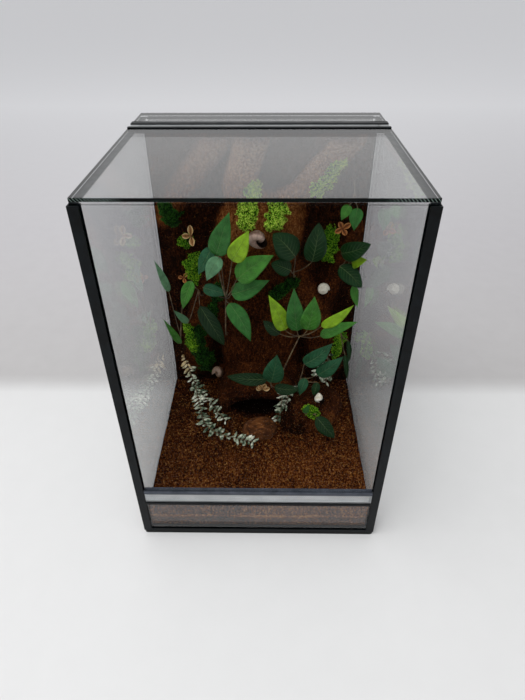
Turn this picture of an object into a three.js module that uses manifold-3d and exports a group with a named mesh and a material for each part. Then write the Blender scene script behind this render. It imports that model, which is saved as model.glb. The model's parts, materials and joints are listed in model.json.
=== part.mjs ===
// Front-lift glass terrarium cabinet with a sculpted, planted background.
// Millimetres, +Z up. Origin at the centre of the underside, front towards -Y, +X to the viewer's right.

import * as THREE from 'three';
import { mergeVertices } from 'three/addons/utils/BufferGeometryUtils.js';
import Module from 'manifold-3d';

const wasm = await Module();
wasm.setup();

// ---------------------------------------------------------------- driving dimensions

const WIDTH = 300; // outside, along X
const DEPTH = 300; // outside, along Y, channels included
const HEIGHT = 450; // floor to the top of the roof glass

const PAD = 1; // foam pad under the base glass
const GLASS = 4; // every fixed pane
const DOOR_GLASS = 4; // the lifting front pane
const GLASS_CORNER = 4; // ground corner radius of the base glass
const ARRIS = 0.4; // seamed edge of each pane

const SEAM = 1; // sealant thickness between two panes
const FILLET = 4; // sealant bead inside each corner

const WALL = 1.2; // wall of the black plastic profiles
const SLIDE_CLEARANCE = 0.4; // glass to flange, each face
const END_CLEARANCE = 0.5; // glass to the web of a channel, each end
const FLANGE = 10; // reach of a channel over the glass, web included
const CHANNEL_TOP_GAP = 0.5; // channel's open end below the roof glass

const FOOT_PROFILE_HEIGHT = 4; // profile that the sill pane stands in
const SILL_VISIBLE = 50; // sill glass between its two profiles
const JOINT_PROFILE_HEIGHT = 4.1; // profile between the sill pane and the grille
const FRONT_GRILLE_VISIBLE = 16.5; // perforated face between its two profiles
const REST_PROFILE_HEIGHT = 4.8; // bar that the front pane stands on
const PROFILE_LIP = 1.4; // height of a cross profile's lips over what it grips
const END_GAP = 0.3; // cross profile to channel flange

const ROOF_FRONT_SPAN = 214.8; // main roof pane, front to the first grille rail
const FRONT_RAIL_WIDTH = 5; // black line ahead of the roof grille
const ROOF_GRILLE_VISIBLE = 12.6; // perforated face between the two rails
const REAR_RAIL_WIDTH = 10.8; // black line behind the roof grille

const SHEET = 0.8; // perforated aluminium sheet
const HOLE = 5; // corner to corner of a perforation
const HOLE_PITCH = 11; // along a row
const ROW_PITCH = 5; // between rows
const HOLE_ROWS = 2;
const HOLE_MARGIN = 6; // grille's end to the first perforation

const BED_DEPTH = 23; // coconut fibre on the base glass
const BED_RELIEF = 2.2; // unevenness of its surface
const BED_COLUMNS = 12; // facets across it
const BED_ROWS = 10; // facets from front to rear
const LEVEL_FADE = 24; // from a level spot to the full unevenness
const PANEL_EDGE = 8; // background at its side edges
const PANEL_FOOT = 14; // background where the bed meets it
const PANEL_RELIEF = 1.6; // rough skin of the background
const PANEL_TOP_GAP = 10; // background below the roof glass
const PANEL_COLUMNS = 20; // facets across its face
const PANEL_ROWS = 25; // facets up its face
const PANEL_SIDE_FADE = 18; // from its thin side edges to the full relief
const PANEL_FOOT_FADE = 16; // from its plain foot to the full relief

const CAVE_REACH = 91.7; // ledge, from its lip back to the background
const CAVE_HALF = 66; // half width of the ledge at its lip
const CAVE_SPREAD = 12; // what it gains by the background
const CAVE_CROWN = 40; // height of the lip over the bed
const CAVE_RISE = 26; // what it gains by the background
const CAVE_FACETS = 9; // facets over the ledge
const MOUTH_HALF = 52; // half width of the hollow at its mouth
const MOUTH_CROWN = 31; // height of the hollow at its mouth
const MOUTH_TAPER = 5.5; // what each loses by the background
const ARCH_ROUNDING = 0.8; // under 1 makes its shoulders fuller
const FLARE = [60, 40, 42]; // half sizes of the base that flares to the right
const FLARE_AT = [80, 48]; // its centre over the bed
const FLARE_TURN = 0.7; // its long axis from the front, radians

const BARK = [28, 23, 15]; // half sizes of the loose piece of bark
const BARK_AT = [-1, 9]; // its centre over the bed
const SEAT = 0.35; // set scenery to what carries it
const ROOM = 0.3; // loose scenery to the glass

const LEAF_THICKNESS = 1.2; // at the midrib
const STEM_RADIUS = 1.1;
const KNOT_RADIUS = 2.6; // swelling where stalks part from a twig

// ---------------------------------------------------------------- derived places

const channelDepth = DOOR_GLASS + 2 * (WALL + SLIDE_CLEARANCE);
const halfWidth = WIDTH / 2;
const frontFace = -DEPTH / 2;
const boxFront = frontFace + channelDepth;
const boxRear = DEPTH / 2;
const insideX = halfWidth - GLASS;
const insideRear = boxRear - GLASS;
const doorFront = frontFace + WALL + SLIDE_CLEARANCE;
const doorRear = doorFront + DOOR_GLASS;

const baseTop = PAD + GLASS;
const roofUnderside = HEIGHT - GLASS;
const wallBottom = baseTop + SEAM;
const wallTop = roofUnderside - SEAM;
const wallHeight = wallTop - wallBottom;

const footTop = baseTop + FOOT_PROFILE_HEIGHT;
const jointBottom = footTop + SILL_VISIBLE;
const jointTop = jointBottom + JOINT_PROFILE_HEIGHT;
const restBottom = jointTop + FRONT_GRILLE_VISIBLE;
const restTop = restBottom + REST_PROFILE_HEIGHT;
const crossHalf = halfWidth - FLANGE - END_GAP;
const paneHalf = halfWidth - WALL - END_CLEARANCE;
const channelTop = roofUnderside - CHANNEL_TOP_GAP;

const frontRailStart = boxFront + ROOF_FRONT_SPAN;
const frontRailEnd = frontRailStart + FRONT_RAIL_WIDTH;
const rearRailStart = frontRailEnd + ROOF_GRILLE_VISIBLE;
const rearRailEnd = rearRailStart + REAR_RAIL_WIDTH;
const frontRailWeb = (frontRailStart + frontRailEnd) / 2;
const rearRailWeb = (rearRailStart + rearRailEnd) / 2;

const bedTop = baseTop + BED_DEPTH;
const panelBack = insideRear - ROOM;
const panelBottom = wallBottom + FILLET + ROOM;
const panelTop = roofUnderside - PANEL_TOP_GAP;
const panelRow = (panelTop - panelBottom) / PANEL_ROWS;
const reliefStart = bedTop + BED_RELIEF + panelRow; // the background is plain below this
const sceneHalf = insideX - ROOM;
const caveLip = panelBack - PANEL_EDGE - CAVE_REACH;
const beadRelief = FILLET + 2 * ROOM;

// The cabin that the places of the scenery are written for.
const LAYOUT = { half: 145.7, rear: 145.7, floor: 28, top: 436 };

// A place in that layout, carried to the cabin as it is: spread over its width and height,
// and as far off the background.
function site([x, y, z]) {
  const across = sceneHalf / LAYOUT.half;
  const upward = (panelTop - bedTop) / (LAYOUT.top - LAYOUT.floor);
  return [x * across, y + panelBack - LAYOUT.rear, bedTop + (z - LAYOUT.floor) * upward];
}

// The same for what the cave carries: it keeps its place beside the cave.
function byCave([x, y, z]) {
  return [x, y + panelBack - LAYOUT.rear, z + bedTop - LAYOUT.floor];
}

function siteOnFace(x, z) {
  const [across, , up] = site([x, 0, z]);
  return [across, up];
}

// ---------------------------------------------------------------- materials

function paint(color, roughness, metalness = 0) {
  return new THREE.MeshStandardMaterial({ color, roughness, metalness });
}

const clearGlass = new THREE.MeshStandardMaterial({
  color: 0xc9dcd2,
  roughness: 0.05,
  metalness: 0,
  transparent: true,
  opacity: 0.35,
});
const blackPlastic = paint(0x0c0f10, 0.35);
const sealant = paint(0x16181a, 0.5);
const foam = paint(0x0a0a0a, 0.95);
const aluminium = paint(0xc9ccce, 0.35, 1);
const coir = paint(0x4a2a18, 1);
const bark = paint(0x33190f, 0.95);
const driftwood = paint(0x5a341c, 0.9);
const paleShell = paint(0xcfc8b4, 0.55);
const brownShell = paint(0x84705f, 0.6);
const husk = paint(0xa98a5e, 0.85);
const moss = paint(0x6f9a2c, 1);
const darkMoss = paint(0x2c4a1c, 1);
const leafGreen = paint(0x2f6a35, 0.5);
const silverGreen = paint(0x8c9a7c, 0.7);

// ---------------------------------------------------------------- helpers: solids

const cabinet = new THREE.Group();

function named(name, geometry, material, position = [0, 0, 0], rotation = [0, 0, 0]) {
  const mesh = new THREE.Mesh(geometry, material);
  mesh.name = name;
  mesh.position.set(...position);
  mesh.rotation.set(...rotation);
  mesh.updateMatrix();
  cabinet.add(mesh);
  return mesh;
}

function toSolid(geometry) {
  const bare = geometry.clone();
  bare.deleteAttribute('normal');
  bare.deleteAttribute('uv');
  const merged = mergeVertices(bare, 1e-4);
  return new wasm.Manifold(new wasm.Mesh({
    numProp: 3,
    vertProperties: new Float32Array(merged.attributes.position.array),
    triVerts: new Uint32Array(merged.index.array),
  }));
}

function toGeometry(solid) {
  const result = solid.getMesh();
  const geometry = new THREE.BufferGeometry();
  geometry.setAttribute('position', new THREE.BufferAttribute(result.vertProperties.slice(), 3));
  geometry.setIndex(new THREE.BufferAttribute(result.triVerts.slice(), 1));
  return geometry;
}

// Leaves out any pocket that crossing stalks close off, so that the piece is solid throughout.
function withoutPockets(geometry) {
  const at = geometry.attributes.position;
  const index = geometry.index.array;
  const parent = Array.from({ length: at.count }, (_, k) => k);
  const rootOf = (k) => {
    let root = k;
    while (parent[root] !== root) root = parent[root];
    parent[k] = root;
    return root;
  };
  for (let k = 0; k < index.length; k += 3) {
    parent[rootOf(index[k + 1])] = rootOf(index[k]);
    parent[rootOf(index[k + 2])] = rootOf(index[k]);
  }
  const corner = (k) => new THREE.Vector3().fromBufferAttribute(at, index[k]);
  const volumes = new Map();
  for (let k = 0; k < index.length; k += 3) {
    const share = corner(k).dot(corner(k + 1).cross(corner(k + 2)));
    volumes.set(rootOf(index[k]), (volumes.get(rootOf(index[k])) ?? 0) + share);
  }
  const kept = [];
  for (let k = 0; k < index.length; k += 3) {
    if (volumes.get(rootOf(index[k])) > 0) kept.push(index[k], index[k + 1], index[k + 2]);
  }
  geometry.setIndex(kept);
  return geometry;
}

function fuse(geometries) {
  const solids = geometries.map(toSolid);
  return withoutPockets(toGeometry(solids.slice(1).reduce((whole, next) => whole.add(next), solids[0])));
}

// Cuts a placed mesh back from what it is set against, in the mesh's own axes.
function carve(mesh, cutters) {
  const inverse = mesh.matrix.clone().invert();
  const whole = toSolid(mesh.geometry);
  mesh.geometry = toGeometry(cutters.reduce(
    (left, cutter) => left.subtract(toSolid(cutter.clone().applyMatrix4(inverse))),
    whole,
  ));
  return mesh;
}

function slab(x, y, z) {
  const [x0, x1] = x;
  const [y0, y1] = y;
  const [z0, z1] = z;
  return new THREE.BoxGeometry(x1 - x0, y1 - y0, z1 - z0)
    .translate((x0 + x1) / 2, (y0 + y1) / 2, (z0 + z1) / 2);
}

function outline(points) {
  return new THREE.Shape(points.map(([u, v]) => new THREE.Vector2(u, v)));
}

// A section in the (u, v) plane, run along u x v from its origin.
function prism(name, shape, length, origin, uAxis, vAxis, material) {
  const options = { depth: length, bevelEnabled: false, curveSegments: 4 };
  const geometry = new THREE.ExtrudeGeometry(shape, options);
  const mesh = named(name, geometry, material, origin);
  const u = new THREE.Vector3(...uAxis);
  const v = new THREE.Vector3(...vAxis);
  const basis = new THREE.Matrix4().makeBasis(u, v, new THREE.Vector3().crossVectors(u, v));
  mesh.quaternion.setFromRotationMatrix(basis);
  mesh.updateMatrix();
  return mesh;
}

// A closed skin over rings of equal count; the first and last rings are capped.
function loft(rings) {
  const count = rings[0].length;
  const positions = rings.flat().flatMap((p) => [p.x, p.y, p.z]);
  const index = [];
  for (let r = 0; r + 1 < rings.length; r += 1) {
    for (let i = 0; i < count; i += 1) {
      const a = r * count + i;
      const b = r * count + ((i + 1) % count);
      index.push(a, b, a + count, b, b + count, a + count);
    }
  }
  const cap = ringCap(rings[0]);
  const last = (rings.length - 1) * count;
  for (const [a, b, c] of cap) {
    index.push(c, b, a);
    index.push(a + last, b + last, c + last);
  }
  const geometry = new THREE.BufferGeometry();
  geometry.setAttribute('position', new THREE.Float32BufferAttribute(positions, 3));
  geometry.setIndex(index);
  return geometry;
}

// Triangles that close a flat ring, wound the way the ring runs.
function ringCap(ring) {
  const normal = new THREE.Vector3();
  ring.forEach((p, i) => normal.add(new THREE.Vector3().crossVectors(p, ring[(i + 1) % ring.length])));
  normal.normalize();
  const u = ring[1].clone().sub(ring[0]).normalize();
  const v = new THREE.Vector3().crossVectors(normal, u);
  const flat = ring.map((p) => new THREE.Vector2(p.dot(u), p.dot(v)));
  return THREE.ShapeUtils.triangulateShape(flat, []);
}

// ---------------------------------------------------------------- glass

function pane(name, x, y, z, material = clearGlass) {
  const size = new THREE.Vector3(x[1] - x[0], y[1] - y[0], z[1] - z[0]);
  const centre = [(x[0] + x[1]) / 2, (y[0] + y[1]) / 2, (z[0] + z[1]) / 2];
  const thinAxis = ['x', 'y', 'z'].reduce((least, axis) => (size[axis] < size[least] ? axis : least));
  const turns = { x: [0, Math.PI / 2, 0], y: [-Math.PI / 2, 0, 0], z: [0, 0, 0] };
  const faces = { x: [size.z, size.y], y: [size.x, size.z], z: [size.x, size.y] };
  const [long, short] = faces[thinAxis];
  const thickness = size[thinAxis];
  const inset = ARRIS;
  const face = outline([
    [-long / 2 + inset, -short / 2 + inset],
    [long / 2 - inset, -short / 2 + inset],
    [long / 2 - inset, short / 2 - inset],
    [-long / 2 + inset, short / 2 - inset],
  ]);
  const geometry = new THREE.ExtrudeGeometry(face, {
    depth: thickness - 2 * ARRIS,
    bevelEnabled: true,
    bevelThickness: ARRIS,
    bevelSize: ARRIS,
    bevelSegments: 1,
  }).translate(0, 0, ARRIS - thickness / 2);
  return named(name, geometry, material, centre, turns[thinAxis]);
}

function roundedRectangle(halfX, halfY, radius) {
  const shape = new THREE.Shape();
  shape.absarc(halfX - radius, halfY - radius, radius, 0, Math.PI / 2);
  shape.absarc(radius - halfX, halfY - radius, radius, Math.PI / 2, Math.PI);
  shape.absarc(radius - halfX, radius - halfY, radius, Math.PI, 1.5 * Math.PI);
  shape.absarc(halfX - radius, radius - halfY, radius, 1.5 * Math.PI, 2 * Math.PI);
  return shape;
}

function basePlates() {
  const plate = (depth) => new THREE.ExtrudeGeometry(
    roundedRectangle(halfWidth, DEPTH / 2, GLASS_CORNER),
    { depth, bevelEnabled: false, curveSegments: 3 },
  );
  named('base_pad', plate(PAD), foam);
  named('base_glass', plate(GLASS), clearGlass, [0, 0, PAD]);
}

function glassBox() {
  const side = [boxFront, boxRear];
  const upright = [wallBottom, wallTop];
  pane('left_glass', [-halfWidth, -insideX], side, upright);
  pane('right_glass', [insideX, halfWidth], side, upright);
  pane('back_glass', [SEAM - insideX, insideX - SEAM], [insideRear, boxRear], upright);
  const roof = [roofUnderside, HEIGHT];
  pane('top_glass', [-halfWidth, halfWidth], [boxFront, frontRailWeb - WALL / 2], roof);
  pane('rear_top_glass', [-halfWidth, halfWidth], [rearRailWeb + WALL / 2, boxRear], roof);
  const front = [doorFront, doorRear];
  pane('sill_glass', [-paneHalf, paneHalf], front, [baseTop + WALL, jointBottom + PROFILE_LIP]);
  pane('front_glass', [-paneHalf, paneHalf], front, [restTop - PROFILE_LIP, channelTop]);
}

// ---------------------------------------------------------------- sealant in the corners

// The layer under a pane's edge and the hollow bead on its inner side.
function sealSection() {
  const reach = GLASS + FILLET;
  const shape = new THREE.Shape();
  shape.moveTo(0, 0);
  shape.lineTo(reach, 0);
  shape.absarc(reach, SEAM + FILLET, FILLET, 1.5 * Math.PI, Math.PI, true);
  shape.lineTo(GLASS, SEAM);
  shape.lineTo(0, SEAM);
  return shape;
}

function sealants() {
  const section = sealSection();
  const run = insideRear - boxFront;
  const across = 2 * (insideX - FILLET);
  const rise = wallHeight - 2 * FILLET;
  const bead = insideX - FILLET;
  const low = wallBottom + FILLET;
  const high = wallTop - FILLET;
  const beads = [
    ['left_base_seal', run, [-halfWidth, insideRear, baseTop], [1, 0, 0], [0, 0, 1]],
    ['right_base_seal', run, [halfWidth, boxFront, baseTop], [-1, 0, 0], [0, 0, 1]],
    ['back_base_seal', across, [bead, boxRear, baseTop], [0, -1, 0], [0, 0, 1]],
    ['left_top_seal', run, [-halfWidth, boxFront, roofUnderside], [1, 0, 0], [0, 0, -1]],
    ['right_top_seal', run, [halfWidth, insideRear, roofUnderside], [-1, 0, 0], [0, 0, -1]],
    ['back_top_seal', across, [-bead, boxRear, roofUnderside], [0, -1, 0], [0, 0, -1]],
    ['left_rear_seal', rise, [-insideX, boxRear, low], [0, -1, 0], [1, 0, 0]],
    ['right_rear_seal', rise, [insideX, boxRear, high], [0, -1, 0], [-1, 0, 0]],
  ];
  for (const [name, length, origin, u, v] of beads) {
    prism(name, section, length, origin, u, v, sealant);
  }
}

// ---------------------------------------------------------------- black plastic profiles

function channelSection() {
  const d = channelDepth;
  return outline([
    [0, 0],
    [FLANGE, 0],
    [FLANGE, WALL],
    [WALL, WALL],
    [WALL, d - WALL],
    [FLANGE, d - WALL],
    [FLANGE, d],
    [0, d],
  ]);
}

// Section of a cross profile: a web with lips that stand up, hang down, or both.
function crossSection(height, lipBelow, lipAbove) {
  const d = channelDepth;
  const points = [[0, 0]];
  if (lipBelow > 0) points.push([WALL, 0], [WALL, lipBelow], [d - WALL, lipBelow], [d - WALL, 0]);
  points.push([d, 0], [d, height]);
  if (lipAbove > 0) {
    const floor = height - lipAbove;
    points.push([d - WALL, height], [d - WALL, floor], [WALL, floor], [WALL, height]);
  }
  points.push([0, height]);
  return outline(points);
}

// Section of a roof rail: the upright web between two panes, with flanges over and under them.
function railSection(width) {
  const middle = width / 2;
  const web = WALL / 2;
  return outline([
    [0, -WALL],
    [width, -WALL],
    [width, 0],
    [middle + web, 0],
    [middle + web, GLASS],
    [width, GLASS],
    [width, GLASS + WALL],
    [0, GLASS + WALL],
    [0, GLASS],
    [middle - web, GLASS],
    [middle - web, 0],
    [0, 0],
  ]);
}

function channels() {
  const section = channelSection();
  const tall = channelTop - baseTop;
  const left = [-halfWidth, frontFace, baseTop];
  const right = [halfWidth, frontFace, channelTop];
  prism('left_channel', section, tall, left, [1, 0, 0], [0, 1, 0], blackPlastic);
  prism('right_channel', section, tall, right, [-1, 0, 0], [0, 1, 0], blackPlastic);
}

function crossProfiles() {
  const lip = PROFILE_LIP;
  const bars = [
    ['sill_foot_profile', crossSection(FOOT_PROFILE_HEIGHT, 0, FOOT_PROFILE_HEIGHT - WALL), baseTop],
    ['vent_lower_profile', crossSection(JOINT_PROFILE_HEIGHT, lip, lip), jointBottom],
    ['door_rest_profile', crossSection(REST_PROFILE_HEIGHT, lip, lip), restBottom],
  ];
  for (const [name, section, z] of bars) {
    prism(name, section, 2 * crossHalf, [-crossHalf, frontFace, z], [0, 1, 0], [0, 0, 1], blackPlastic);
  }
}

// The rails span the box; their lower flanges are coped to drop between the side panes.
function roofRail(name, start, width) {
  const origin = [-halfWidth, start, roofUnderside];
  const rail = prism(name, railSection(width), WIDTH, origin, [0, 1, 0], [0, 0, 1], blackPlastic);
  const cope = insideX - FILLET - ROOM;
  const y = [start - 1, start + width + 1];
  const z = [roofUnderside - 2 * WALL, roofUnderside];
  carve(rail, [slab([-halfWidth - 1, -cope], y, z), slab([cope, halfWidth + 1], y, z)]);
}

// ---------------------------------------------------------------- perforated aluminium

// A folded strip in its own axes: face up in XY, hems hanging down along both long edges.
function grille(length, width, hem) {
  const face = outline([
    [-length / 2, -width / 2],
    [length / 2, -width / 2],
    [length / 2, width / 2],
    [-length / 2, width / 2],
  ]);
  const r = HOLE / 2;
  const columns = Math.floor((length - 2 * HOLE_MARGIN) / HOLE_PITCH);
  for (let row = 0; row < HOLE_ROWS; row += 1) {
    const y = (row - (HOLE_ROWS - 1) / 2) * ROW_PITCH;
    const shift = (row % 2) * (HOLE_PITCH / 2);
    for (let column = 0; column < columns; column += 1) {
      const x = (column - (columns - 1) / 2) * HOLE_PITCH + shift - HOLE_PITCH / 4;
      const hole = [[x + r, y], [x, y + r], [x - r, y], [x, y - r]];
      face.holes.push(new THREE.Path(hole.map(([u, v]) => new THREE.Vector2(u, v))));
    }
  }
  const sheet = new THREE.ExtrudeGeometry(face, { depth: SHEET, bevelEnabled: false })
    .translate(0, 0, -SHEET);
  const edge = (y0, y1) => slab([-length / 2, length / 2], [y0, y1], [-hem, -SHEET / 2]);
  return fuse([
    sheet,
    edge(-width / 2, SHEET - width / 2),
    edge(width / 2 - SHEET, width / 2),
  ]);
}

function grilles() {
  const webToWeb = rearRailWeb - frontRailWeb - WALL;
  const roofWidth = webToWeb - 2 * ROOM;
  const roofCentre = (frontRailWeb + rearRailWeb) / 2;
  const roof = grille(WIDTH - 2 * ROOM, roofWidth, GLASS);
  named('top_vent_grille', roof, aluminium, [0, roofCentre, HEIGHT]);
  const tall = FRONT_GRILLE_VISIBLE + 2 * PROFILE_LIP;
  const middle = (jointTop + restBottom) / 2;
  const front = grille(2 * paneHalf, tall, DOOR_GLASS);
  named('front_vent_grille', front, aluminium, [0, doorFront, middle], [Math.PI / 2, 0, 0]);
}

// ---------------------------------------------------------------- bed and background

// Slow unevenness made of a few waves, between -1 and 1.
function ripple(u, v) {
  const a = Math.sin(u * 0.061 + 1.3 * Math.sin(v * 0.037));
  const b = Math.sin(v * 0.083 + 0.9 * Math.cos(u * 0.052) + 1.7);
  const c = Math.sin((u + v) * 0.121 + 0.4) * Math.cos((u - 2 * v) * 0.067);
  return (a + b + c) / 3;
}

// A block whose top is a relief over (u, v) and whose underside is chamfered all round.
function reliefBlock([u0, u1, nu], [v0, v1, nv], chamfer, height) {
  const positions = [];
  const index = [];
  for (let j = 0; j <= nv; j += 1) {
    for (let i = 0; i <= nu; i += 1) {
      const u = u0 + ((u1 - u0) * i) / nu;
      const v = v0 + ((v1 - v0) * j) / nv;
      positions.push(u, v, height(u, v));
    }
  }
  const at = (i, j) => j * (nu + 1) + i;
  for (let j = 0; j < nv; j += 1) {
    for (let i = 0; i < nu; i += 1) {
      index.push(at(i, j), at(i + 1, j), at(i, j + 1));
      index.push(at(i + 1, j), at(i + 1, j + 1), at(i, j + 1));
    }
  }
  const rim = [];
  for (let i = 0; i < nu; i += 1) rim.push(at(i, 0));
  for (let j = 0; j < nv; j += 1) rim.push(at(nu, j));
  for (let i = nu; i > 0; i -= 1) rim.push(at(i, nv));
  for (let j = nv; j > 0; j -= 1) rim.push(at(0, j));
  const skirt = positions.length / 3;
  for (const k of rim) positions.push(positions[3 * k], positions[3 * k + 1], chamfer);
  const corners = [[u0, v0, 1, 1], [u1, v0, -1, 1], [u1, v1, -1, -1], [u0, v1, 1, -1]];
  const floor = positions.length / 3;
  for (const [u, v, su, sv] of corners) positions.push(u + su * chamfer, v + sv * chamfer, 0);
  const n = rim.length;
  const sideOf = (k) => {
    if (k < nu) return 0;
    if (k < nu + nv) return 1;
    return k < 2 * nu + nv ? 2 : 3;
  };
  for (let k = 0; k < n; k += 1) {
    const next = (k + 1) % n;
    index.push(rim[k], skirt + k, rim[next]);
    index.push(rim[next], skirt + k, skirt + next);
    index.push(skirt + k, floor + sideOf(k), skirt + next);
  }
  const cornerRim = [0, nu, nu + nv, 2 * nu + nv];
  cornerRim.forEach((k, c) => {
    index.push(skirt + k, floor + ((c + 3) % 4), floor + c);
  });
  index.push(floor, floor + 2, floor + 1, floor, floor + 3, floor + 2);
  const geometry = new THREE.BufferGeometry();
  geometry.setAttribute('position', new THREE.Float32BufferAttribute(positions, 3));
  geometry.setIndex(index);
  return geometry;
}

// Carved limbs of the background: a path over (x, z), a half width and how far it stands out.
const LIMBS = [
  { path: [[-6, 436], [-30, 362], [-22, 306], [-4, 262]], half: 23, rise: 25 },
  { path: [[104, 425], [62, 378], [22, 330], [4, 280]], half: 22, rise: 23 },
  { path: [[-2, 300], [-14, 220], [-4, 120], [0, 60]], half: 64, rise: 33 },
  { path: [[-46, 262], [-88, 180], [-112, 60]], half: 24, rise: 17 },
  { path: [[44, 236], [86, 150], [112, 56]], half: 27, rise: 20 },
  { path: [[-140, 318], [-96, 372], [-46, 432]], half: 20, rise: 12 },
  { path: [[138, 300], [112, 240], [96, 170]], half: 16, rise: 10 },
].map((limb) => ({ ...limb, path: limb.path.map(([x, z]) => siteOnFace(x, z)) }));

function distanceToPath(x, z, path) {
  let least = Infinity;
  for (let i = 0; i + 1 < path.length; i += 1) {
    const [ax, az] = path[i];
    const [bx, bz] = path[i + 1];
    const length2 = (bx - ax) ** 2 + (bz - az) ** 2;
    const t = THREE.MathUtils.clamp(((x - ax) * (bx - ax) + (z - az) * (bz - az)) / length2, 0, 1);
    least = Math.min(least, Math.hypot(x - ax - t * (bx - ax), z - az - t * (bz - az)));
  }
  return least;
}

// Thickness of the background at a point of its face.
function panelThickness(x, z) {
  const limb = LIMBS.reduce((most, { path, half, rise }) => {
    const across = Math.min(distanceToPath(x, z, path) / half, 1);
    return Math.max(most, rise * Math.sqrt(1 - across * across));
  }, 0);
  const sideFade = THREE.MathUtils.smoothstep(sceneHalf - Math.abs(x), 0, PANEL_SIDE_FADE);
  const footFade = THREE.MathUtils.smoothstep(z - reliefStart, 0, PANEL_FOOT_FADE);
  const full = PANEL_EDGE + sideFade * (limb + PANEL_RELIEF * (1 + ripple(x * 1.6, z * 1.6)));
  return THREE.MathUtils.lerp(PANEL_FOOT, full, footFade);
}

// Y of the background's face, less how far a piece's centre stands off it.
function faceY(x, z, lift) {
  return panelBack - panelThickness(x, z) - lift;
}

// A place with no Y is on the face, with the piece's centre as far off it as lift says;
// any other is by the cave.
function onFace([x, y, z], lift) {
  if (y !== null) return byCave([x, y, z]);
  const [across, up] = siteOnFace(x, z);
  return [across, faceY(across, up, lift), up];
}

// Pieces that stand on the bed need it level there: [x, y, radius].
const LEVEL_SPOTS = [[0, 76, 92], [-1, 8, 36]].map(([x, y, radius]) => {
  const [across, back] = byCave([x, y, LAYOUT.floor]);
  return [across, back, radius];
});

function bedHeight(x, y) {
  const open = LEVEL_SPOTS.reduce((least, [cx, cy, radius]) => {
    const away = Math.hypot(x - cx, y - cy) - radius;
    return Math.min(least, THREE.MathUtils.smoothstep(away, 0, LEVEL_FADE));
  }, 1);
  return BED_DEPTH - ROOM + BED_RELIEF * open * ripple(x * 1.3 + 40, y * 1.3);
}

// Height of the bed's surface over the floor that the cabinet stands on.
function groundAt(x, y) {
  return baseTop + ROOM + bedHeight(x, y);
}

function bed(raise) {
  const front = boxFront + ROOM;
  const rear = panelBack - PANEL_FOOT - ROOM;
  return reliefBlock(
    [-sceneHalf, sceneHalf, BED_COLUMNS],
    [front, rear, BED_ROWS],
    beadRelief,
    (x, y) => bedHeight(x, y) + raise,
  ).translate(0, 0, baseTop + ROOM);
}

function panel(raise) {
  return reliefBlock(
    [-sceneHalf, sceneHalf, PANEL_COLUMNS],
    [panelBottom, panelTop, PANEL_ROWS],
    beadRelief,
    (x, z) => panelThickness(x, z) + raise,
  ).rotateX(Math.PI / 2).translate(0, panelBack, 0);
}

const bedSeat = bed(SEAT);
const panelSeat = panel(SEAT);
const sideSeats = [-1, 1].map((side) => {
  const x = [side * sceneHalf, side * WIDTH].sort((a, b) => a - b);
  return slab(x, [-DEPTH, DEPTH], [0, HEIGHT]);
});

function ground() {
  named('substrate_bed', bed(0), coir);
  named('background_panel', panel(0), bark);
}

// ---------------------------------------------------------------- cave and bark

// The ledge: arched sections from its lip back to the background, hollow below.
function ledge(raise) {
  const lip = caveLip - raise;
  const rear = panelBack - PANEL_EDGE;
  const stations = 5;
  const steps = CAVE_FACETS;
  const rings = [];
  for (let s = 0; s <= stations; s += 1) {
    const t = s / stations;
    const y = lip + (rear - lip) * t;
    const half = CAVE_HALF + CAVE_SPREAD * t + raise;
    const crown = CAVE_CROWN + CAVE_RISE * Math.sqrt(t) + raise;
    const hollow = mouthAt(t);
    const ring = [];
    for (let i = 0; i <= steps; i += 1) {
      const a = (Math.PI * i) / steps;
      const knob = 1 + 0.05 * Math.sin(5 * a + 3 * t);
      ring.push(archPoint({ half, crown: crown * knob }, y, i / steps));
    }
    for (let i = steps; i >= 0; i -= 1) ring.push(archPoint(hollow, y, i / steps));
    rings.push(ring);
  }
  return loft(rings).translate(0, 0, bedTop + SEAT);
}

// The hollow narrows a little towards the background.
function mouthAt(t) {
  return { half: MOUTH_HALF - MOUTH_TAPER * t, crown: MOUTH_CROWN - MOUTH_TAPER * t };
}

function archPoint({ half, crown }, y, turn) {
  const a = Math.PI * turn;
  return new THREE.Vector3(-half * Math.cos(a), y, crown * Math.sin(a) ** ARCH_ROUNDING);
}

// What the hollow takes out of the flared base beside it.
function hollowCore() {
  const steps = CAVE_FACETS;
  const rings = [[0, caveLip], [1, panelBack - PANEL_EDGE]].map(([t, y]) => {
    const ring = [];
    for (let i = 0; i <= steps; i += 1) ring.push(archPoint(mouthAt(t), y, i / steps));
    const below = (p) => new THREE.Vector3(p.x, p.y, -BED_DEPTH);
    return [...ring, below(ring[steps]), below(ring[0])];
  });
  return loft(rings).translate(0, 0, bedTop + SEAT);
}

// The base that flares out to the right of the hollow, on the bed.
function flare(raise) {
  const [long, short, tall] = FLARE.map((half) => half + raise);
  const [x, y] = byCave([...FLARE_AT, LAYOUT.floor]);
  const mound = new THREE.SphereGeometry(1, 12, 8)
    .scale(long, short, tall)
    .rotateZ(FLARE_TURN)
    .translate(x, y, bedTop);
  const below = slab([-WIDTH, WIDTH], [-DEPTH, DEPTH], [-HEIGHT, bedTop - BED_RELIEF]);
  return toGeometry([below, hollowCore()].reduce(
    (left, cutter) => left.subtract(toSolid(cutter)),
    toSolid(mound),
  ));
}

function arch(raise) {
  return fuse([ledge(raise), flare(raise)]);
}

const archSeat = arch(SEAT);

function caveArch() {
  carve(named('cave_arch', arch(0), bark), [panelSeat, bedSeat, ...sideSeats]);
}

function barkPiece() {
  const geometry = new THREE.SphereGeometry(1, 12, 7).scale(...BARK);
  const [x, y] = byCave([...BARK_AT, LAYOUT.floor]);
  const piece = named('bark_piece', geometry, driftwood, [x, y, bedTop + 2], [0.08, 0.05, 0.3]);
  carve(piece, [bedSeat, archSeat]);
}

// ---------------------------------------------------------------- shells and pods

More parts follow.
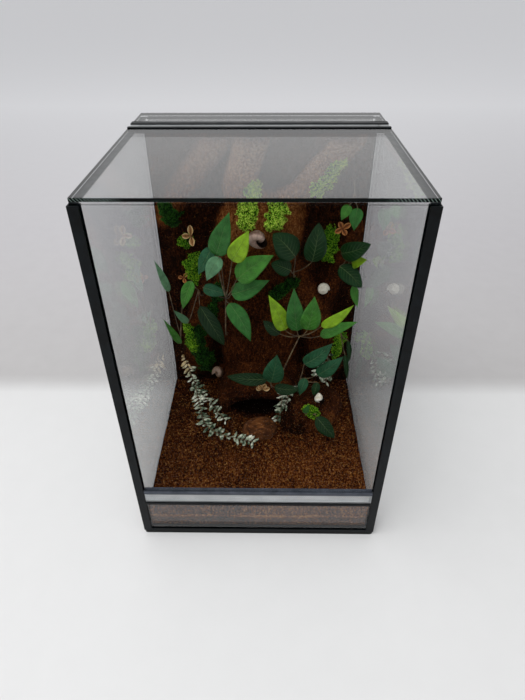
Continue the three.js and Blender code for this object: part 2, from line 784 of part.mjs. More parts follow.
// A globe snail: whorls turned about its axis, with the mouth cut into the last one.
function snailShell(radius) {
  const profile = [[0, 1.05], [0.3, 0.88], [0.4, 0.66], [0.68, 0.5], [0.78, 0.24]];
  profile.push([1, 0], [0.94, -0.38], [0.5, -0.72], [0, -0.78]);
  const turned = new THREE.LatheGeometry(
    profile.map(([r, h]) => new THREE.Vector2(r * radius, h * radius)).reverse(),
    10,
  );
  const mouth = new THREE.SphereGeometry(0.5 * radius, 6, 5)
    .scale(1, 1.15, 1)
    .translate(0.72 * radius, -0.4 * radius, 0.2 * radius);
  return toGeometry(toSolid(turned).subtract(toSolid(mouth)));
}

// Snails on the carved face stand off it by part of their radius; the others lie at their own Y.
function shells() {
  const set = [
    ['snail_shell_upper', 12.5, [-3, null, 309], [0.5, 0.3, -0.4], brownShell],
    ['snail_shell_right', 9.5, [94, null, 211], [0.8, 0.5, -0.3], paleShell],
    ['snail_shell_left', 8.5, [-69, 119, 64], [0.3, 0.8, 0.6], brownShell],
    ['snail_shell_low', 8.5, [89, 36, 72], [1.1, 0.4, 0], paleShell],
  ];
  for (const [name, radius, place, rotation, material] of set) {
    const position = onFace(place, 0.55 * radius);
    const shell = named(name, snailShell(radius), material, position, rotation);
    carve(shell, [panelSeat, bedSeat, archSeat]);
  }
}

// A dried pod: cupped woody petals around a hub.
function podGeometry(petals, length, width) {
  const parts = [new THREE.SphereGeometry(0.3 * length, 5, 3)];
  for (let k = 0; k < petals; k += 1) {
    const petal = new THREE.SphereGeometry(1, 5, 4)
      .scale(width / 2, 0.14 * length, length / 2)
      .translate(0, 0, length / 2)
      .rotateX(-0.5)
      .rotateY((2 * Math.PI * k) / petals + 0.4);
    parts.push(petal);
  }
  return fuse(parts);
}

function pods() {
  const set = [
    ['seed_pod_left', 3, 15, 11, [-98, null, 291]],
    ['seed_pod_low_left', 3, 10, 7, [-116, null, 224]],
    ['seed_pod_centre', 4, 11, 9, [-4, 57, 80]],
    ['seed_pod_right', 4, 14, 12, [116, null, 301]],
  ];
  for (const [name, petals, length, width, place] of set) {
    const position = onFace(place, 0.12 * length);
    const pod = named(name, podGeometry(petals, length, width), husk, position);
    carve(pod, [panelSeat, archSeat]);
  }
}

// ---------------------------------------------------------------- moss

// Cushions of moss grown on the carved face:
// centre over (x, z), half sizes, tilt and how far they stand out.
const MOSS = [
  ['moss_left_limb', -20, 344, 22, 50, 0.13, 8, moss],
  ['moss_right_limb', 20, 330, 20, 42, 0.53, 8, moss],
  ['moss_upper_right', 87, 379, 18, 46, 0.75, 8, moss],
  ['moss_far_left', -124, 330, 14, 32, -0.43, 6, darkMoss],
  ['moss_left_column', -97, 240, 12, 40, 0.05, 7, moss],
  ['moss_low_left', -113, 124, 14, 44, -0.25, 7, moss],
  ['moss_right_column', 96, 282, 12, 38, 0.12, 7, moss],
  ['moss_low_right', 126, 108, 11, 34, 0.2, 10, moss],
];

function mossCushions() {
  for (const [name, layoutX, layoutZ, halfX, halfZ, tilt, rise, material] of MOSS) {
    const [x, z] = siteOnFace(layoutX, layoutZ);
    const stand = panelThickness(x, z);
    const reach = stand + rise;
    const geometry = new THREE.SphereGeometry(1, 10, 7).scale(halfX, reach, halfZ);
    const cushion = named(name, geometry, material, [x, panelBack, z], [0, tilt, 0]);
    carve(cushion, [panelSeat, slab([-WIDTH, WIDTH], [panelBack - PANEL_EDGE, DEPTH], [0, HEIGHT])]);
  }
}

// ---------------------------------------------------------------- leaves and vines

function vector([x, y, z]) {
  return new THREE.Vector3(x, y, z);
}

// A folded blade from its base to its tip, drooping along the way.
function blade(base, tip, width, droop) {
  const start = vector(base);
  const end = vector(tip);
  const along = end.clone().sub(start);
  const reach = along.length();
  const facing = new THREE.Vector3(0, -1, 0.55).normalize();
  const side = new THREE.Vector3().crossVectors(along, facing).normalize();
  const up = new THREE.Vector3().crossVectors(side, along).normalize();
  const stations = 4;
  const rings = [];
  for (let s = 0; s <= stations; s += 1) {
    const t = s / stations;
    const spread = Math.max((width / 2) * Math.sin(Math.PI * t ** 0.72) ** 0.8, 0.5);
    const rib = start.clone().addScaledVector(along, t).addScaledVector(up, -droop * reach * t * t);
    const fold = 0.28 * spread;
    const point = (sideways, lift) => rib.clone().addScaledVector(side, sideways).addScaledVector(up, lift);
    rings.push([point(0, 0), point(spread, fold), point(0, -LEAF_THICKNESS), point(-spread, fold)]);
  }
  return loft(rings);
}

function stem(points, radius, steps, sides = 4) {
  const curve = new THREE.CatmullRomCurve3(points.map(vector));
  const corners = Array.from({ length: sides }, (_, k) => {
    const turn = (2 * Math.PI * k) / sides;
    return [radius * Math.cos(turn), radius * Math.sin(turn)];
  });
  return new THREE.ExtrudeGeometry(outline(corners), {
    steps,
    bevelEnabled: false,
    extrudePath: curve,
  });
}

// A twig from its root in the background to a hub, with a stalk from the hub to each leaf.
function sprig({ name, material, root, hub, leaves, place = site }) {
  const twig = [root, ...hub].map(place);
  const parts = [stem(twig, STEM_RADIUS, hub.length + 1)];
  const fork = twig[hub.length];
  parts.push(new THREE.SphereGeometry(KNOT_RADIUS, 5, 4).translate(...fork));
  for (const [from, to, width, droop] of leaves) {
    const base = place(from);
    const tip = place(to);
    const halfway = base.map((value, k) => (value + fork[k]) / 2 - (k === 2 ? 3 : 0));
    const into = base.map((value, k) => value + 0.12 * (tip[k] - value));
    parts.push(stem([fork, halfway, base, into], 0.9 * STEM_RADIUS, 2, 3));
    parts.push(blade(base, tip, width, droop));
  }
  carve(named(name, fuse(parts), material), [panelSeat, bedSeat, archSeat, ...sideSeats]);
}

const SPRIGS = [
  {
    name: 'leaves_upper_left',
    material: leafGreen,
    root: [-52, 116, 136],
    hub: [[-53, 92, 153], [-50, 89, 215]],
    leaves: [
      [[-59, 80, 287], [-38, 72, 351], 29, 0],
      [[-64, 84, 297], [-85, 78, 259], 20, 0.03],
      [[-53, 76, 287], [-73, 66, 256], 21, 0.1],
      [[-37, 70, 284], [-13, 58, 333], 26, 0],
      [[-32, 74, 254], [17, 62, 296], 32, 0.05],
      [[-41, 82, 226], [12, 72, 254], 27, 0.05],
      [[-45, 80, 213], [-14, 62, 157], 26, 0.05],
      [[-82, 92, 231], [-46, 88, 222], 18, 0.1],
    ],
  },
  {
    name: 'leaves_far_left',
    material: leafGreen,
    root: [-86, 130, 200],
    hub: [[-88, 112, 206], [-90, 100, 222]],
    leaves: [
      [[-97, 92, 242], [-114, 84, 198], 18, 0.1],
      [[-90, 100, 195], [-56, 88, 130], 26, 0.05],
      [[-112, 110, 158], [-129, 96, 189], 11, 0.05],
    ],
  },
  {
    name: 'leaves_upper_centre',
    material: leafGreen,
    root: [52, 122, 236],
    hub: [[48, 108, 240], [47, 100, 252]],
    leaves: [
      [[48, 92, 279], [18, 84, 316], 36, 0.05],
      [[43, 96, 256], [16, 90, 270], 24, 0.1],
      [[71, 92, 272], [76, 80, 334], 30, 0],
    ],
  },
  {
    name: 'leaves_upper_right',
    material: leafGreen,
    root: [126, 134, 262],
    hub: [[125, 124, 262], [124, 118, 266]],
    leaves: [
      [[112, 106, 278], [140, 62, 312], 26, 0.05],
      [[112, 106, 258], [141, 78, 240], 26, 0.05],
      [[128, 104, 264], [141, 74, 284], 18, 0.05],
      [[134, 102, 230], [141, 88, 201], 12, 0.05],
    ],
  },
  {
    name: 'leaves_top_right',
    material: leafGreen,
    root: [124, 136, 368],
    hub: [[124, 126, 366], [124, 119, 360]],
    leaves: [
      [[118, 112, 345], [108, 104, 327], 14, 0.1],
      [[129, 112, 341], [126, 102, 313], 16, 0.1],
    ],
  },
  {
    name: 'leaves_ledge',
    material: leafGreen,
    place: byCave,
    root: [30, 62, 66],
    hub: [[31, 50, 104], [47, 48, 153], [56, 48, 178]],
    leaves: [
      [[35, 50, 187], [12, 42, 248], 24, 0.02],
      [[52, 48, 187], [45, 38, 261], 26, 0.02],
      [[66, 46, 190], [72, 34, 251], 28, 0.02],
      [[85, 44, 197], [123, 30, 240], 15, 0.05],
      [[85, 50, 177], [134, 42, 206], 17, 0.05],
      [[28, 56, 176], [5, 50, 202], 17, 0.05],
    ],
  },
  {
    name: 'leaves_ledge_low',
    material: leafGreen,
    place: byCave,
    root: [56, 66, 50],
    hub: [[60, 54, 76], [60, 48, 100]],
    leaves: [
      [[66, 62, 116], [104, 54, 160], 25, 0.05],
      [[86, 58, 98], [121, 50, 139], 23, 0.05],
      [[67, 44, 104], [59, 36, 75], 15, 0.05],
      [[86, 48, 92], [81, 40, 72], 13, 0.05],
    ],
  },
  {
    name: 'leaves_lip',
    material: leafGreen,
    place: byCave,
    root: [17, 62, 68],
    hub: [[16, 48, 86], [14, 43, 97]],
    leaves: [
      [[16, 41, 97], [24, 32, 156], 31, 0.02],
      [[11, 40, 105], [-49, 34, 114], 20, 0.05],
      [[21, 42, 87], [58, 34, 89], 18, 0.05],
    ],
  },
  {
    name: 'leaf_floor_right',
    material: leafGreen,
    place: byCave,
    root: [84, 28, 54],
    hub: [[83, 15, 60], [82, 10, 63]],
    leaves: [
      [[84, 6, 60], [110, -16, 39], 22, 0],
      [[66, 10, 64], [71, 5, 86], 9, 0],
    ],
  },
  {
    name: 'spikes_left',
    material: silverGreen,
    root: [-122, 140, 176],
    hub: [[-122, 116, 170], [-123, 95, 142]],
    leaves: [
      [[-123, 88, 134], [-136, 54, 202], 11, 0],
      [[-127, 72, 236], [-135, 48, 296], 11, 0],
    ],
  },
  {
    name: 'blades_right',
    material: leafGreen,
    root: [104, 134, 152],
    hub: [[112, 114, 148], [124, 108, 140]],
    leaves: [
      [[133, 102, 104], [139, 92, 62], 8, 0],
      [[136, 108, 128], [140, 102, 88], 8, 0],
    ],
  },
];

function sprigs() {
  SPRIGS.forEach(sprig);
}

// A place with no Z lies on the bed, just clear of it.
function trailing([x, y, z], place) {
  const [across, back, up] = place([x, y, z ?? LAYOUT.floor]);
  return [across, back, z === null ? groundAt(across, back) + STEM_RADIUS + 2 * SEAT : up];
}

// A trailing succulent: a stalk, bare where it is rooted, with pairs of small plump leaves.
function vine(name, places, bare, pitch, size, place = site) {
  const route = places.map((spot) => trailing(spot, place));
  const curve = new THREE.CatmullRomCurve3(route.map(vector));
  const parts = [stem(route, STEM_RADIUS, route.length + 3, 3)];
  const reach = curve.getLength();
  const count = Math.floor((reach - bare) / pitch);
  for (let k = 0; k < count; k += 1) {
    const t = (bare + (k + 0.5) * pitch) / reach;
    const at = curve.getPointAt(t);
    const along = curve.getTangentAt(t);
    const across = new THREE.Vector3(-along.y, along.x, 0).normalize();
    const turn = new THREE.Quaternion().setFromUnitVectors(new THREE.Vector3(1, 0, 0), across);
    const leaflet = new THREE.OctahedronGeometry(1)
      .scale(size, 0.36 * size, 0.22 * size)
      .applyQuaternion(turn)
      .translate(at.x, at.y, at.z);
    parts.push(leaflet);
  }
  carve(named(name, fuse(parts), silverGreen), [panelSeat, bedSeat, archSeat]);
}

function vines() {
  vine('vine_left', [
    [-128, 140, 88],
    [-123, 122, 72],
    [-115, 98, 44],
    [-104, 76, null],
    [-86, 50, null],
    [-66, 28, null],
    [-54, 6, null],
    [-44, -12, null],
    [-14, -22, null],
  ], 22, 13, 9);
  const fromLedge = [[34, 51, 61], [33, 41, 60], [31, 36, 46], [28, 28, null]];
  vine('vine_centre', fromLedge, 12, 7, 7, byCave);
  vine('vine_right', [[108, 118, 92], [107, 96, 74], [104, 84, 60]], 10, 8, 7);
}

// ---------------------------------------------------------------- assembly

basePlates();
glassBox();
sealants();
channels();
crossProfiles();
roofRail('top_vent_front_rail', frontRailStart, FRONT_RAIL_WIDTH);
roofRail('top_vent_rear_rail', rearRailStart, REAR_RAIL_WIDTH);
grilles();
ground();
caveArch();
barkPiece();
shells();
pods();
mossCushions();
sprigs();
vines();

export default cabinet;
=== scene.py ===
"""Looks of an upright glass terrarium with a lifting front pane and a planted, carved background.

Places are written in millimetres, +Z up, front towards -Y, and made metres when a piece is finished.
Distances in the finishes are in metres, and scales of noise in features per metre.
"""

import json
import math
import random

import bmesh
import bpy
from mathutils import Matrix, Vector, noise

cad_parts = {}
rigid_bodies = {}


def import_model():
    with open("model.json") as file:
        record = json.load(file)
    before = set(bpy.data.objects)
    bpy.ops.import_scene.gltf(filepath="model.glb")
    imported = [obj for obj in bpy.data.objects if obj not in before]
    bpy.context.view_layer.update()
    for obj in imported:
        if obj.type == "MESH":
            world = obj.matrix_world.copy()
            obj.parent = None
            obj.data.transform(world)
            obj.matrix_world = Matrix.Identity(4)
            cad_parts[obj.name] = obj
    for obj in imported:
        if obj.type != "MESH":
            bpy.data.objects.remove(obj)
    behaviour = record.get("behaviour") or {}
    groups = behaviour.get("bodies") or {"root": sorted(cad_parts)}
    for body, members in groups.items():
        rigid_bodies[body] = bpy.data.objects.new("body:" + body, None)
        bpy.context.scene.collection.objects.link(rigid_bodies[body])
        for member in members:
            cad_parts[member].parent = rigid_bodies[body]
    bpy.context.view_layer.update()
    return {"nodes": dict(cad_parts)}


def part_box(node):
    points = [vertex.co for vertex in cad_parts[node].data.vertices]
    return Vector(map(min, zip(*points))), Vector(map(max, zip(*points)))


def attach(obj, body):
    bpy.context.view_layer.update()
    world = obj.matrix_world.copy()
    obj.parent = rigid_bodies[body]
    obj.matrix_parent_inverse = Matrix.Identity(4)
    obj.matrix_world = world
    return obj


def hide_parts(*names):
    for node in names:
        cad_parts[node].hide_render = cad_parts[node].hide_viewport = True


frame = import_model()
nodes = frame["nodes"]

MM = 0.001
UP, AHEAD = Vector((0, 0, 1)), Vector((0, -1, 0))
PLAIN = (0.0, 0.0, 0.0)

# ------------------------ sizes shared with the solids

HALF_INSIDE = 145.7
PANEL_BACK = 145.7
PANEL_LOW = 10.3
PANEL_HIGH = 436.0
PANEL_EDGE = 8.0
PANEL_FOOT = 14.0
PANEL_RELIEF = 1.6
PANEL_SIDE_FADE = 18.0
PANEL_FOOT_FADE = 16.0
RELIEF_START = 47.2
BED_LOW = 5.3
BED_FLOOR = 28.0
BED_RELIEF = 2.2
BED_FRONT = -142.5
BED_REAR = 131.4
LEVEL_SPOTS = [(0, 76, 92), (-1, 8, 36)]
LEVEL_FADE = 24.0
STEM_RADIUS = 1.1

LIMBS = [
    ([(-6, 436), (-30, 362), (-22, 306), (-4, 262)], 23, 25),
    ([(104, 425), (62, 378), (22, 330), (4, 280)], 22, 23),
    ([(-2, 300), (-14, 220), (-4, 120), (0, 60)], 64, 33),
    ([(-46, 262), (-88, 180), (-112, 60)], 24, 17),
    ([(44, 236), (86, 150), (112, 56)], 27, 20),
    ([(-140, 318), (-96, 372), (-46, 432)], 20, 12),
    ([(138, 300), (112, 240), (96, 170)], 16, 10),
]


def smoothstep(value, low, high):
    t = min(max((value - low) / (high - low), 0.0), 1.0)
    return t * t * (3 - 2 * t)


def ripple(u, v):
    """Slow waves between -1 and 1."""
    a = math.sin(u * 0.061 + 1.3 * math.sin(v * 0.037))
    b = math.sin(v * 0.083 + 0.9 * math.cos(u * 0.052) + 1.7)
    c = math.sin((u + v) * 0.121 + 0.4) * math.cos((u - 2 * v) * 0.067)
    return (a + b + c) / 3


def limb_rise(x, z):
    """How far the carved limbs stand out of the background at a point of it."""
    most = 0.0
    for path, half, rise in LIMBS:
        least = half
        for (ax, az), (bx, bz) in zip(path, path[1:]):
            dx, dz = bx - ax, bz - az
            t = min(max(((x - ax) * dx + (z - az) * dz) / (dx * dx + dz * dz), 0.0), 1.0)
            least = min(least, math.hypot(x - ax - t * dx, z - az - t * dz))
        most = max(most, rise * math.sqrt(1 - (least / half) ** 2))
    return most


def panel_thickness(x, z):
    """From the back of the background to its carved face."""
    side = smoothstep(HALF_INSIDE - abs(x), 0, PANEL_SIDE_FADE)
    foot = smoothstep(z - RELIEF_START, 0, PANEL_FOOT_FADE)
    full = PANEL_EDGE + side * (limb_rise(x, z) + PANEL_RELIEF * (1 + ripple(x * 1.6, z * 1.6)))
    return PANEL_FOOT + (full - PANEL_FOOT) * foot


def bed_height(x, y):
    """Z of the bed's surface."""
    free = min(
        smoothstep(math.hypot(x - cx, y - cy) - radius, 0, LEVEL_FADE) for cx, cy, radius in LEVEL_SPOTS
    )
    return BED_FLOOR + BED_RELIEF * free * ripple(x * 1.3 + 40, y * 1.3)


# ------------------------ shader expressions


def rgb(code):
    """A screen colour such as "3a2016" as the linear colour that nodes take."""
    parts = [int(code[i : i + 2], 16) / 255 for i in (0, 2, 4)]
    return (*[p / 12.92 if p <= 0.04045 else ((p + 0.055) / 1.055) ** 2.4 for p in parts], 1.0)


def maths(operation, swapped=False):
    """A method that puts a Math node after a Value and another term."""

    def method(self, *others):
        terms = (self, *others)
        terms = dict(enumerate(reversed(terms) if swapped else terms))
        return self.finish.node("ShaderNodeMath", terms, operation=operation)

    return method


def new_node(tree, kind, inputs, settings):
    """A node with its settings made and its inputs linked or given a value."""
    made = tree.nodes.new(kind)
    for key, value in settings.items():
        setattr(made, key, value)
    for key, value in inputs.items():
        if isinstance(value, bpy.types.NodeSocket):
            tree.links.new(value, made.inputs[key])
        else:
            made.inputs[key].default_value = value
    return made


class Value:
    """An output of a node. Arithmetic on it adds Math nodes."""

    def __init__(self, finish, node, output=0):
        self.finish, self.node, self.socket = finish, node, node.outputs[output]

    def out(self, name):
        return Value(self.finish, self.node, name)

    def clamped(self):
        return self.finish.node("ShaderNodeClamp", {0: self})

    __add__, __radd__ = maths("ADD"), maths("ADD", swapped=True)
    __sub__, __rsub__ = maths("SUBTRACT"), maths("SUBTRACT", swapped=True)
    __mul__, __rmul__ = maths("MULTIPLY"), maths("MULTIPLY", swapped=True)
    __pow__, __gt__, __lt__ = maths("POWER"), maths("GREATER_THAN"), maths("LESS_THAN")
    __abs__, sine, fraction = maths("ABSOLUTE"), maths("SINE"), maths("FRACT")


class Finish:
    """A material and its nodes. A colour is given as a code or as a Value."""

    def __init__(self, name):
        self.material = bpy.data.materials.new(name)
        self.material.use_nodes = True
        self.tree = self.material.node_tree
        self.tree.nodes.clear()
        self.place = self.node("ShaderNodeTexCoord").out("Object")

    def node(self, kind, inputs=None, **settings):
        given = {}
        for key, value in (inputs or {}).items():
            given[key] = getattr(value, "socket", rgb(value) if isinstance(value, str) else value)
        return Value(self, new_node(self.tree, kind, given, settings))

    def axes(self, vector=None):
        split = self.node("ShaderNodeSeparateXYZ", {0: vector or self.place})
        return [split.out(axis) for axis in "XYZ"]

    def on_piece(self):
        """The "place" of a Shape's points: along and across their own leaf, whorl or petal, and a third."""
        return self.axes(self.node("ShaderNodeAttribute", attribute_name="place").out("Vector"))

    def noise(self, per_metre, detail=4.0, roughness=0.55, vector=None, distortion=0.0):
        return self.node("ShaderNodeTexNoise", {
            "Vector": vector or self.place, "Scale": per_metre, "Detail": detail, "Roughness": roughness,
            "Distortion": distortion,
        })

    def stretched(self, *scale):
        return self.node("ShaderNodeMapping", {"Vector": self.place, "Scale": scale})

    def ramp(self, value, *stops):
        made = self.node("ShaderNodeValToRGB", {0: value})
        elements = made.node.color_ramp.elements
        while len(elements) < len(stops):
            elements.new(1.0)
        for element, (at, code) in zip(elements, stops):
            element.position = at
            element.color = rgb(code)
        return made

    def level(self, value, low, high, to_low=0.0, to_high=1.0):
        return self.node("ShaderNodeMapRange", {0: value, 1: low, 2: high, 3: to_low, 4: to_high})

    def mixed(self, share, first, second):
        return self.node("ShaderNodeMix", {0: share, 6: first, 7: second}, data_type="RGBA").out(2)

    def blended(self, share, first, second):
        return self.node("ShaderNodeMixShader", {0: share, 1: first, 2: second})

    def surface(self, **inputs):
        named = {key.replace("_", " "): value for key, value in inputs.items()}
        return self.node("ShaderNodeBsdfPrincipled", named)

    def done(self, shader):
        new_node(self.tree, "ShaderNodeOutputMaterial", {"Surface": shader.socket}, {})
        return self.material

    def coat(self, colour, roughness, relief=None, specular=0.5, **others):
        """The whole material; relief is the height, depth and strength of its bump."""
        if relief:
            named = dict(zip(("Height", "Distance", "Strength"), relief))
            others["Normal"] = self.node("ShaderNodeBump", named)
        return self.done(self.surface(
            Base_Color=colour, Roughness=roughness, Specular_IOR_Level=specular, **others,
        ))


# ------------------------ finishes

# The ground marks near the ends of the roof pane's front edge: lines per metre, how much of the pitch
# a line takes, where along X they set in and are full, and the Y of that edge.
HATCH_LINES, HATCH_SHARE = 330.0, 0.16
HATCH_START, HATCH_FULL = 0.105, 0.118
ROOF_FRONT = -0.1424
# A face of a pane whose normal leans this much to the thin axis is a broad one.
BROAD = 0.6


def clear_glass(thin_axis, mirrored, clarity, kind="plain", grazing=1.0, solid_edge=1.0):
    """Float glass: a thin clear pane with soft reflections, near black green where its edge shows."""
    f = Finish(f"clear_glass_{'xyz'[thin_axis]}_{kind}")
    turned = f.axes(f.node("ShaderNodeNewGeometry").out("True Normal"))[thin_axis]
    facing = f.node("ShaderNodeLayerWeight", {"Blend": 0.5}).out("Facing")
    mirror = (mirrored + (1 - mirrored) * grazing * facing**5).clamped()
    through = f.node("ShaderNodeBsdfTransparent", {0: (clarity * 0.995, clarity, clarity, 1)})
    smears = f.level(f.noise(9, 3), 0.45, 0.75, 0.0, 0.05)
    pane = f.blended(mirror, through, f.surface(Base_Color="ffffff", Metallic=1.0, Roughness=smears))
    streaks = f.noise(60, 3, vector=f.stretched(1, 1, 6))
    green = f.ramp(streaks, (0.35, "010303"), (0.6, "030a08"), (0.78, "0b1f19"))
    if kind == "hatched":
        x, y, z = f.axes()
        slant = ((x + z * 0.9) * HATCH_LINES).fraction() < HATCH_SHARE
        ends = f.level(abs(x), HATCH_START, HATCH_FULL)
        green = f.mixed(slant * ends * (y < ROOF_FRONT), green, "8fa39b")
    edge = f.surface(Base_Color=green, Roughness=0.3, Specular_IOR_Level=0.12)
    if solid_edge < 1:
        edge = f.blended(solid_edge, through, edge)
    return f.done(f.blended(abs(turned) > BROAD, edge, pane))


def black_plastic(name, along, low="040506", high="10161a", gloss=0.3):
    """Extruded plastic: near black, faint lines along the extrusion, rubbed a little."""
    f = Finish(name)
    fine = [900.0] * 3
    fine[along] = 6.0
    lines = f.noise(1, 2, vector=f.stretched(*fine))
    rubbed = f.noise(70, 5, 0.65)
    colour = f.mixed(f.level(rubbed, 0.35, 0.8), low, high)
    roughness = f.level(rubbed, 0.3, 0.8, gloss, gloss + 0.18)
    return f.coat(colour, roughness, (lines + rubbed * 0.6, 0.00008, 0.5), 0.14)


def sealant():
    f = Finish("black_sealant")
    tooled = f.noise(160, 3)
    roughness = f.level(tooled, 0.3, 0.7, 0.28, 0.5)
    return f.coat(f.mixed(tooled, "101315", "23282b"), roughness, (tooled, 0.0003, 0.5))


def foam():
    f = Finish("foam_pad")
    cells = f.node("ShaderNodeTexVoronoi", {"Vector": f.place, "Scale": 900.0})
    return f.coat(f.mixed(cells, "050505", "1a1a1a"), 0.95, (cells, 0.0002, 0.6))


def aluminium():
    f = Finish("perforated_aluminium")
    rolled = f.noise(1, 3, vector=f.stretched(14, 700, 700))
    colour = f.mixed(f.noise(45, 4), "b9bdc0", "e6e8e9")
    return f.coat(colour, f.level(rolled, 0.3, 0.7, 0.26, 0.44), (rolled, 0.00005, 0.4), Metallic=0.85)


# The cave seen from above: its middle, and how far from it the shade is full and ends.
CAVE_X, CAVE_Y = -0.006, 0.09
SHADE_FULL, SHADE_END = 0.038, 0.058


def cave_shade(f):
    """Falls to near nothing on what lies under the ledge."""
    x, y, _ = f.axes()
    aside, deep = x - CAVE_X, y - CAVE_Y
    away = (aside * aside * 0.8 + deep * deep) ** 0.5
    return f.level(away, SHADE_FULL, SHADE_END, 0.05, 1.0)


def coconut_bed():
    """Damp coconut fibre: dark crumbs with redder, lighter fibre among them, in layers at its front."""
    f = Finish("coconut_fibre")
    _, y, z = f.axes()
    patches = f.level(f.noise(18, 4, 0.6), 0.34, 0.66)
    crumbs = f.level(f.noise(330, 5, 0.7), 0.4, 0.62)
    grit = f.level(f.noise(620, 3, 0.7), 0.4, 0.62)
    strands = f.level(f.noise(1, 4, 0.6, f.stretched(700, 170, 300), 0.9), 0.42, 0.66)
    # Lighter and redder towards the front of the bed.
    lighter_to_front = f.level(y, 0.03, -0.13, -0.07, 0.17)
    front = y < (BED_FRONT + 1) * MM
    tone = patches * 0.18 + crumbs * 0.32 + grit * 0.2 + strands * (1 - front) * 0.26 + lighter_to_front - 0.03
    layer = z + f.noise(26, 3) * 0.012
    layers = f.level(layer, 0.028, 0.034, 0.0, 0.3) + f.level(layer, 0.024, 0.019, 0.0, 0.12)
    tone = ((tone + layers * front) * cave_shade(f)).clamped()
    colour = f.ramp(
        tone, (0.12, "090301"), (0.36, "2b1206"), (0.56, "643213"), (0.74, "a16028"), (0.92, "d79a55"),
    )
    return f.coat(colour, 0.95, (crumbs + grit * 0.6 + strands * 0.4, 0.0018, 1.0), 0.05)


def loose_fibre(name, lightness):
    f = Finish(name)
    tone = f.level(f.noise(260, 2), 0.34, 0.68) * lightness * cave_shade(f)
    colour = f.ramp(tone, (0.15, "1f0e06"), (0.4, "52290f"), (0.62, "8c5026"), (0.85, "bd8648"))
    return f.coat(colour, 0.85, specular=0.08)


def carved_skin():
    """Fibre stuck over carved foam: rough, with painted light on the crests of its limbs, which are lighter
    and redder there, and painted shade near black in its hollows.
    """
    f = Finish("carved_background")
    crest, high, _ = f.on_piece()
    patches = f.level(f.noise(22, 4, 0.6), 0.34, 0.66)
    grain = f.level(f.noise(1, 6, 0.7, f.stretched(330, 330, 110), 0.7), 0.38, 0.64)
    crumbs = f.level(f.noise(420, 5, 0.7), 0.38, 0.64)
    # crest carries painted light: lit limbs are lighter, hollows fall to painted shade.
    tone = (crest * 0.44 + patches * 0.14 + grain * 0.24 + crumbs * 0.28 - 0.09).clamped()
    colour = f.ramp(
        tone, (0.08, "0d0603"), (0.3, "291308"), (0.5, "552b13"), (0.7, "8a5228"), (0.92, "b98350"),
    )
    # Painted highlight: crests high up are mixed towards a pale colour.
    colour = f.mixed(crest * high * 0.75, colour, f.ramp(crumbs, (0.2, "96705a"), (0.8, "d2ad92")))
    return f.coat(colour, 0.95, (grain + crumbs * 0.8, 0.0018, 1.0), 0.05)


def worn_bark():
    f = Finish("worn_bark")
    bands = f.noise(1, 5, 0.6, f.stretched(60, 160, 260), 1.2)
    spots = {"Vector": f.stretched(55, 110, 110), "Scale": 1.0}
    open_cracks = f.level(f.node("ShaderNodeTexVoronoi", spots, feature="DISTANCE_TO_EDGE"), 0.0, 0.06)
    colour = f.ramp(bands, (0.3, "1a0c05"), (0.48, "42240f"), (0.62, "673d1e"), (0.8, "93663b"))
    colour = f.mixed((1 - open_cracks) * 0.45, colour, "1d0d08")
    return f.coat(colour, 0.7, (open_cracks * 0.8 + bands, 0.0012, 0.7), 0.15)


def shell_finish(name, ground, band, spire):
    """Bands along the whorls, growth lines across them."""
    f = Finish(name)
    along, across, _ = f.on_piece()
    growth = (along * 190.0).sine()
    bands = f.ramp(
        across, (0.0, band), (0.22, ground), (0.4, ground), (0.5, band), (0.6, ground), (0.85, spire),
    )
    worn = f.noise(380, 4, 0.6)
    colour = f.mixed(f.level(worn, 0.5, 0.72), bands, spire)
    colour = f.mixed(f.level(growth, 0.3, 1.0, 0.0, 0.3), colour, band)
    return f.coat(colour, 0.42, (growth * 0.6 + worn, 0.00015, 0.7), Coat_Weight=0.2)


# A near black cap set into each shell's mouth: painted shade standing for the hollow within.
def painted_shade_mouth():
    f = Finish("shell_mouth_painted_shade")
    return f.coat(f.mixed(f.noise(300, 3), "050302", "1c120c"), 0.9, specular=0.05)


def husk(name, base, middle, tip):
    f = Finish(name)
    along, across, _ = f.on_piece()
    fibres = f.noise(1, 4, 0.6, f.stretched(500, 500, 120))
    tone = (along * 0.8 + fibres * 0.5 - 0.2).clamped()
    colour = f.ramp(tone, (0.1, base), (0.45, middle), (0.85, tip))
    return f.coat(colour, 0.85, (fibres + abs(across) * 0.3, 0.0006, 0.8))


def moss_finish(name, low, middle, high, later):
    """Each curl is dark at its root and bright at its tip: painted shade down among the tufts and painted
    light on their tips, over the moss's own greens; whole clumps vary.
    """
    f = Finish(name)
    along, _, _ = f.on_piece()
    clumps = f.level(f.noise(60, 3), 0.34, 0.66)
    curls = f.level(f.noise(300, 3), 0.36, 0.64)
    # along darkens the roots and brightens the tips: painted shade and painted light.
    tone = (along * 0.75 + clumps * 0.2 + curls * 0.2 - 0.08).clamped()
    colour = f.ramp(tone, (0.12 + later, low), (0.5 + later, middle), (0.9 + later * 0.6, high))
    return f.coat(colour, 0.8, (curls, 0.0006, 0.6), 0.1)


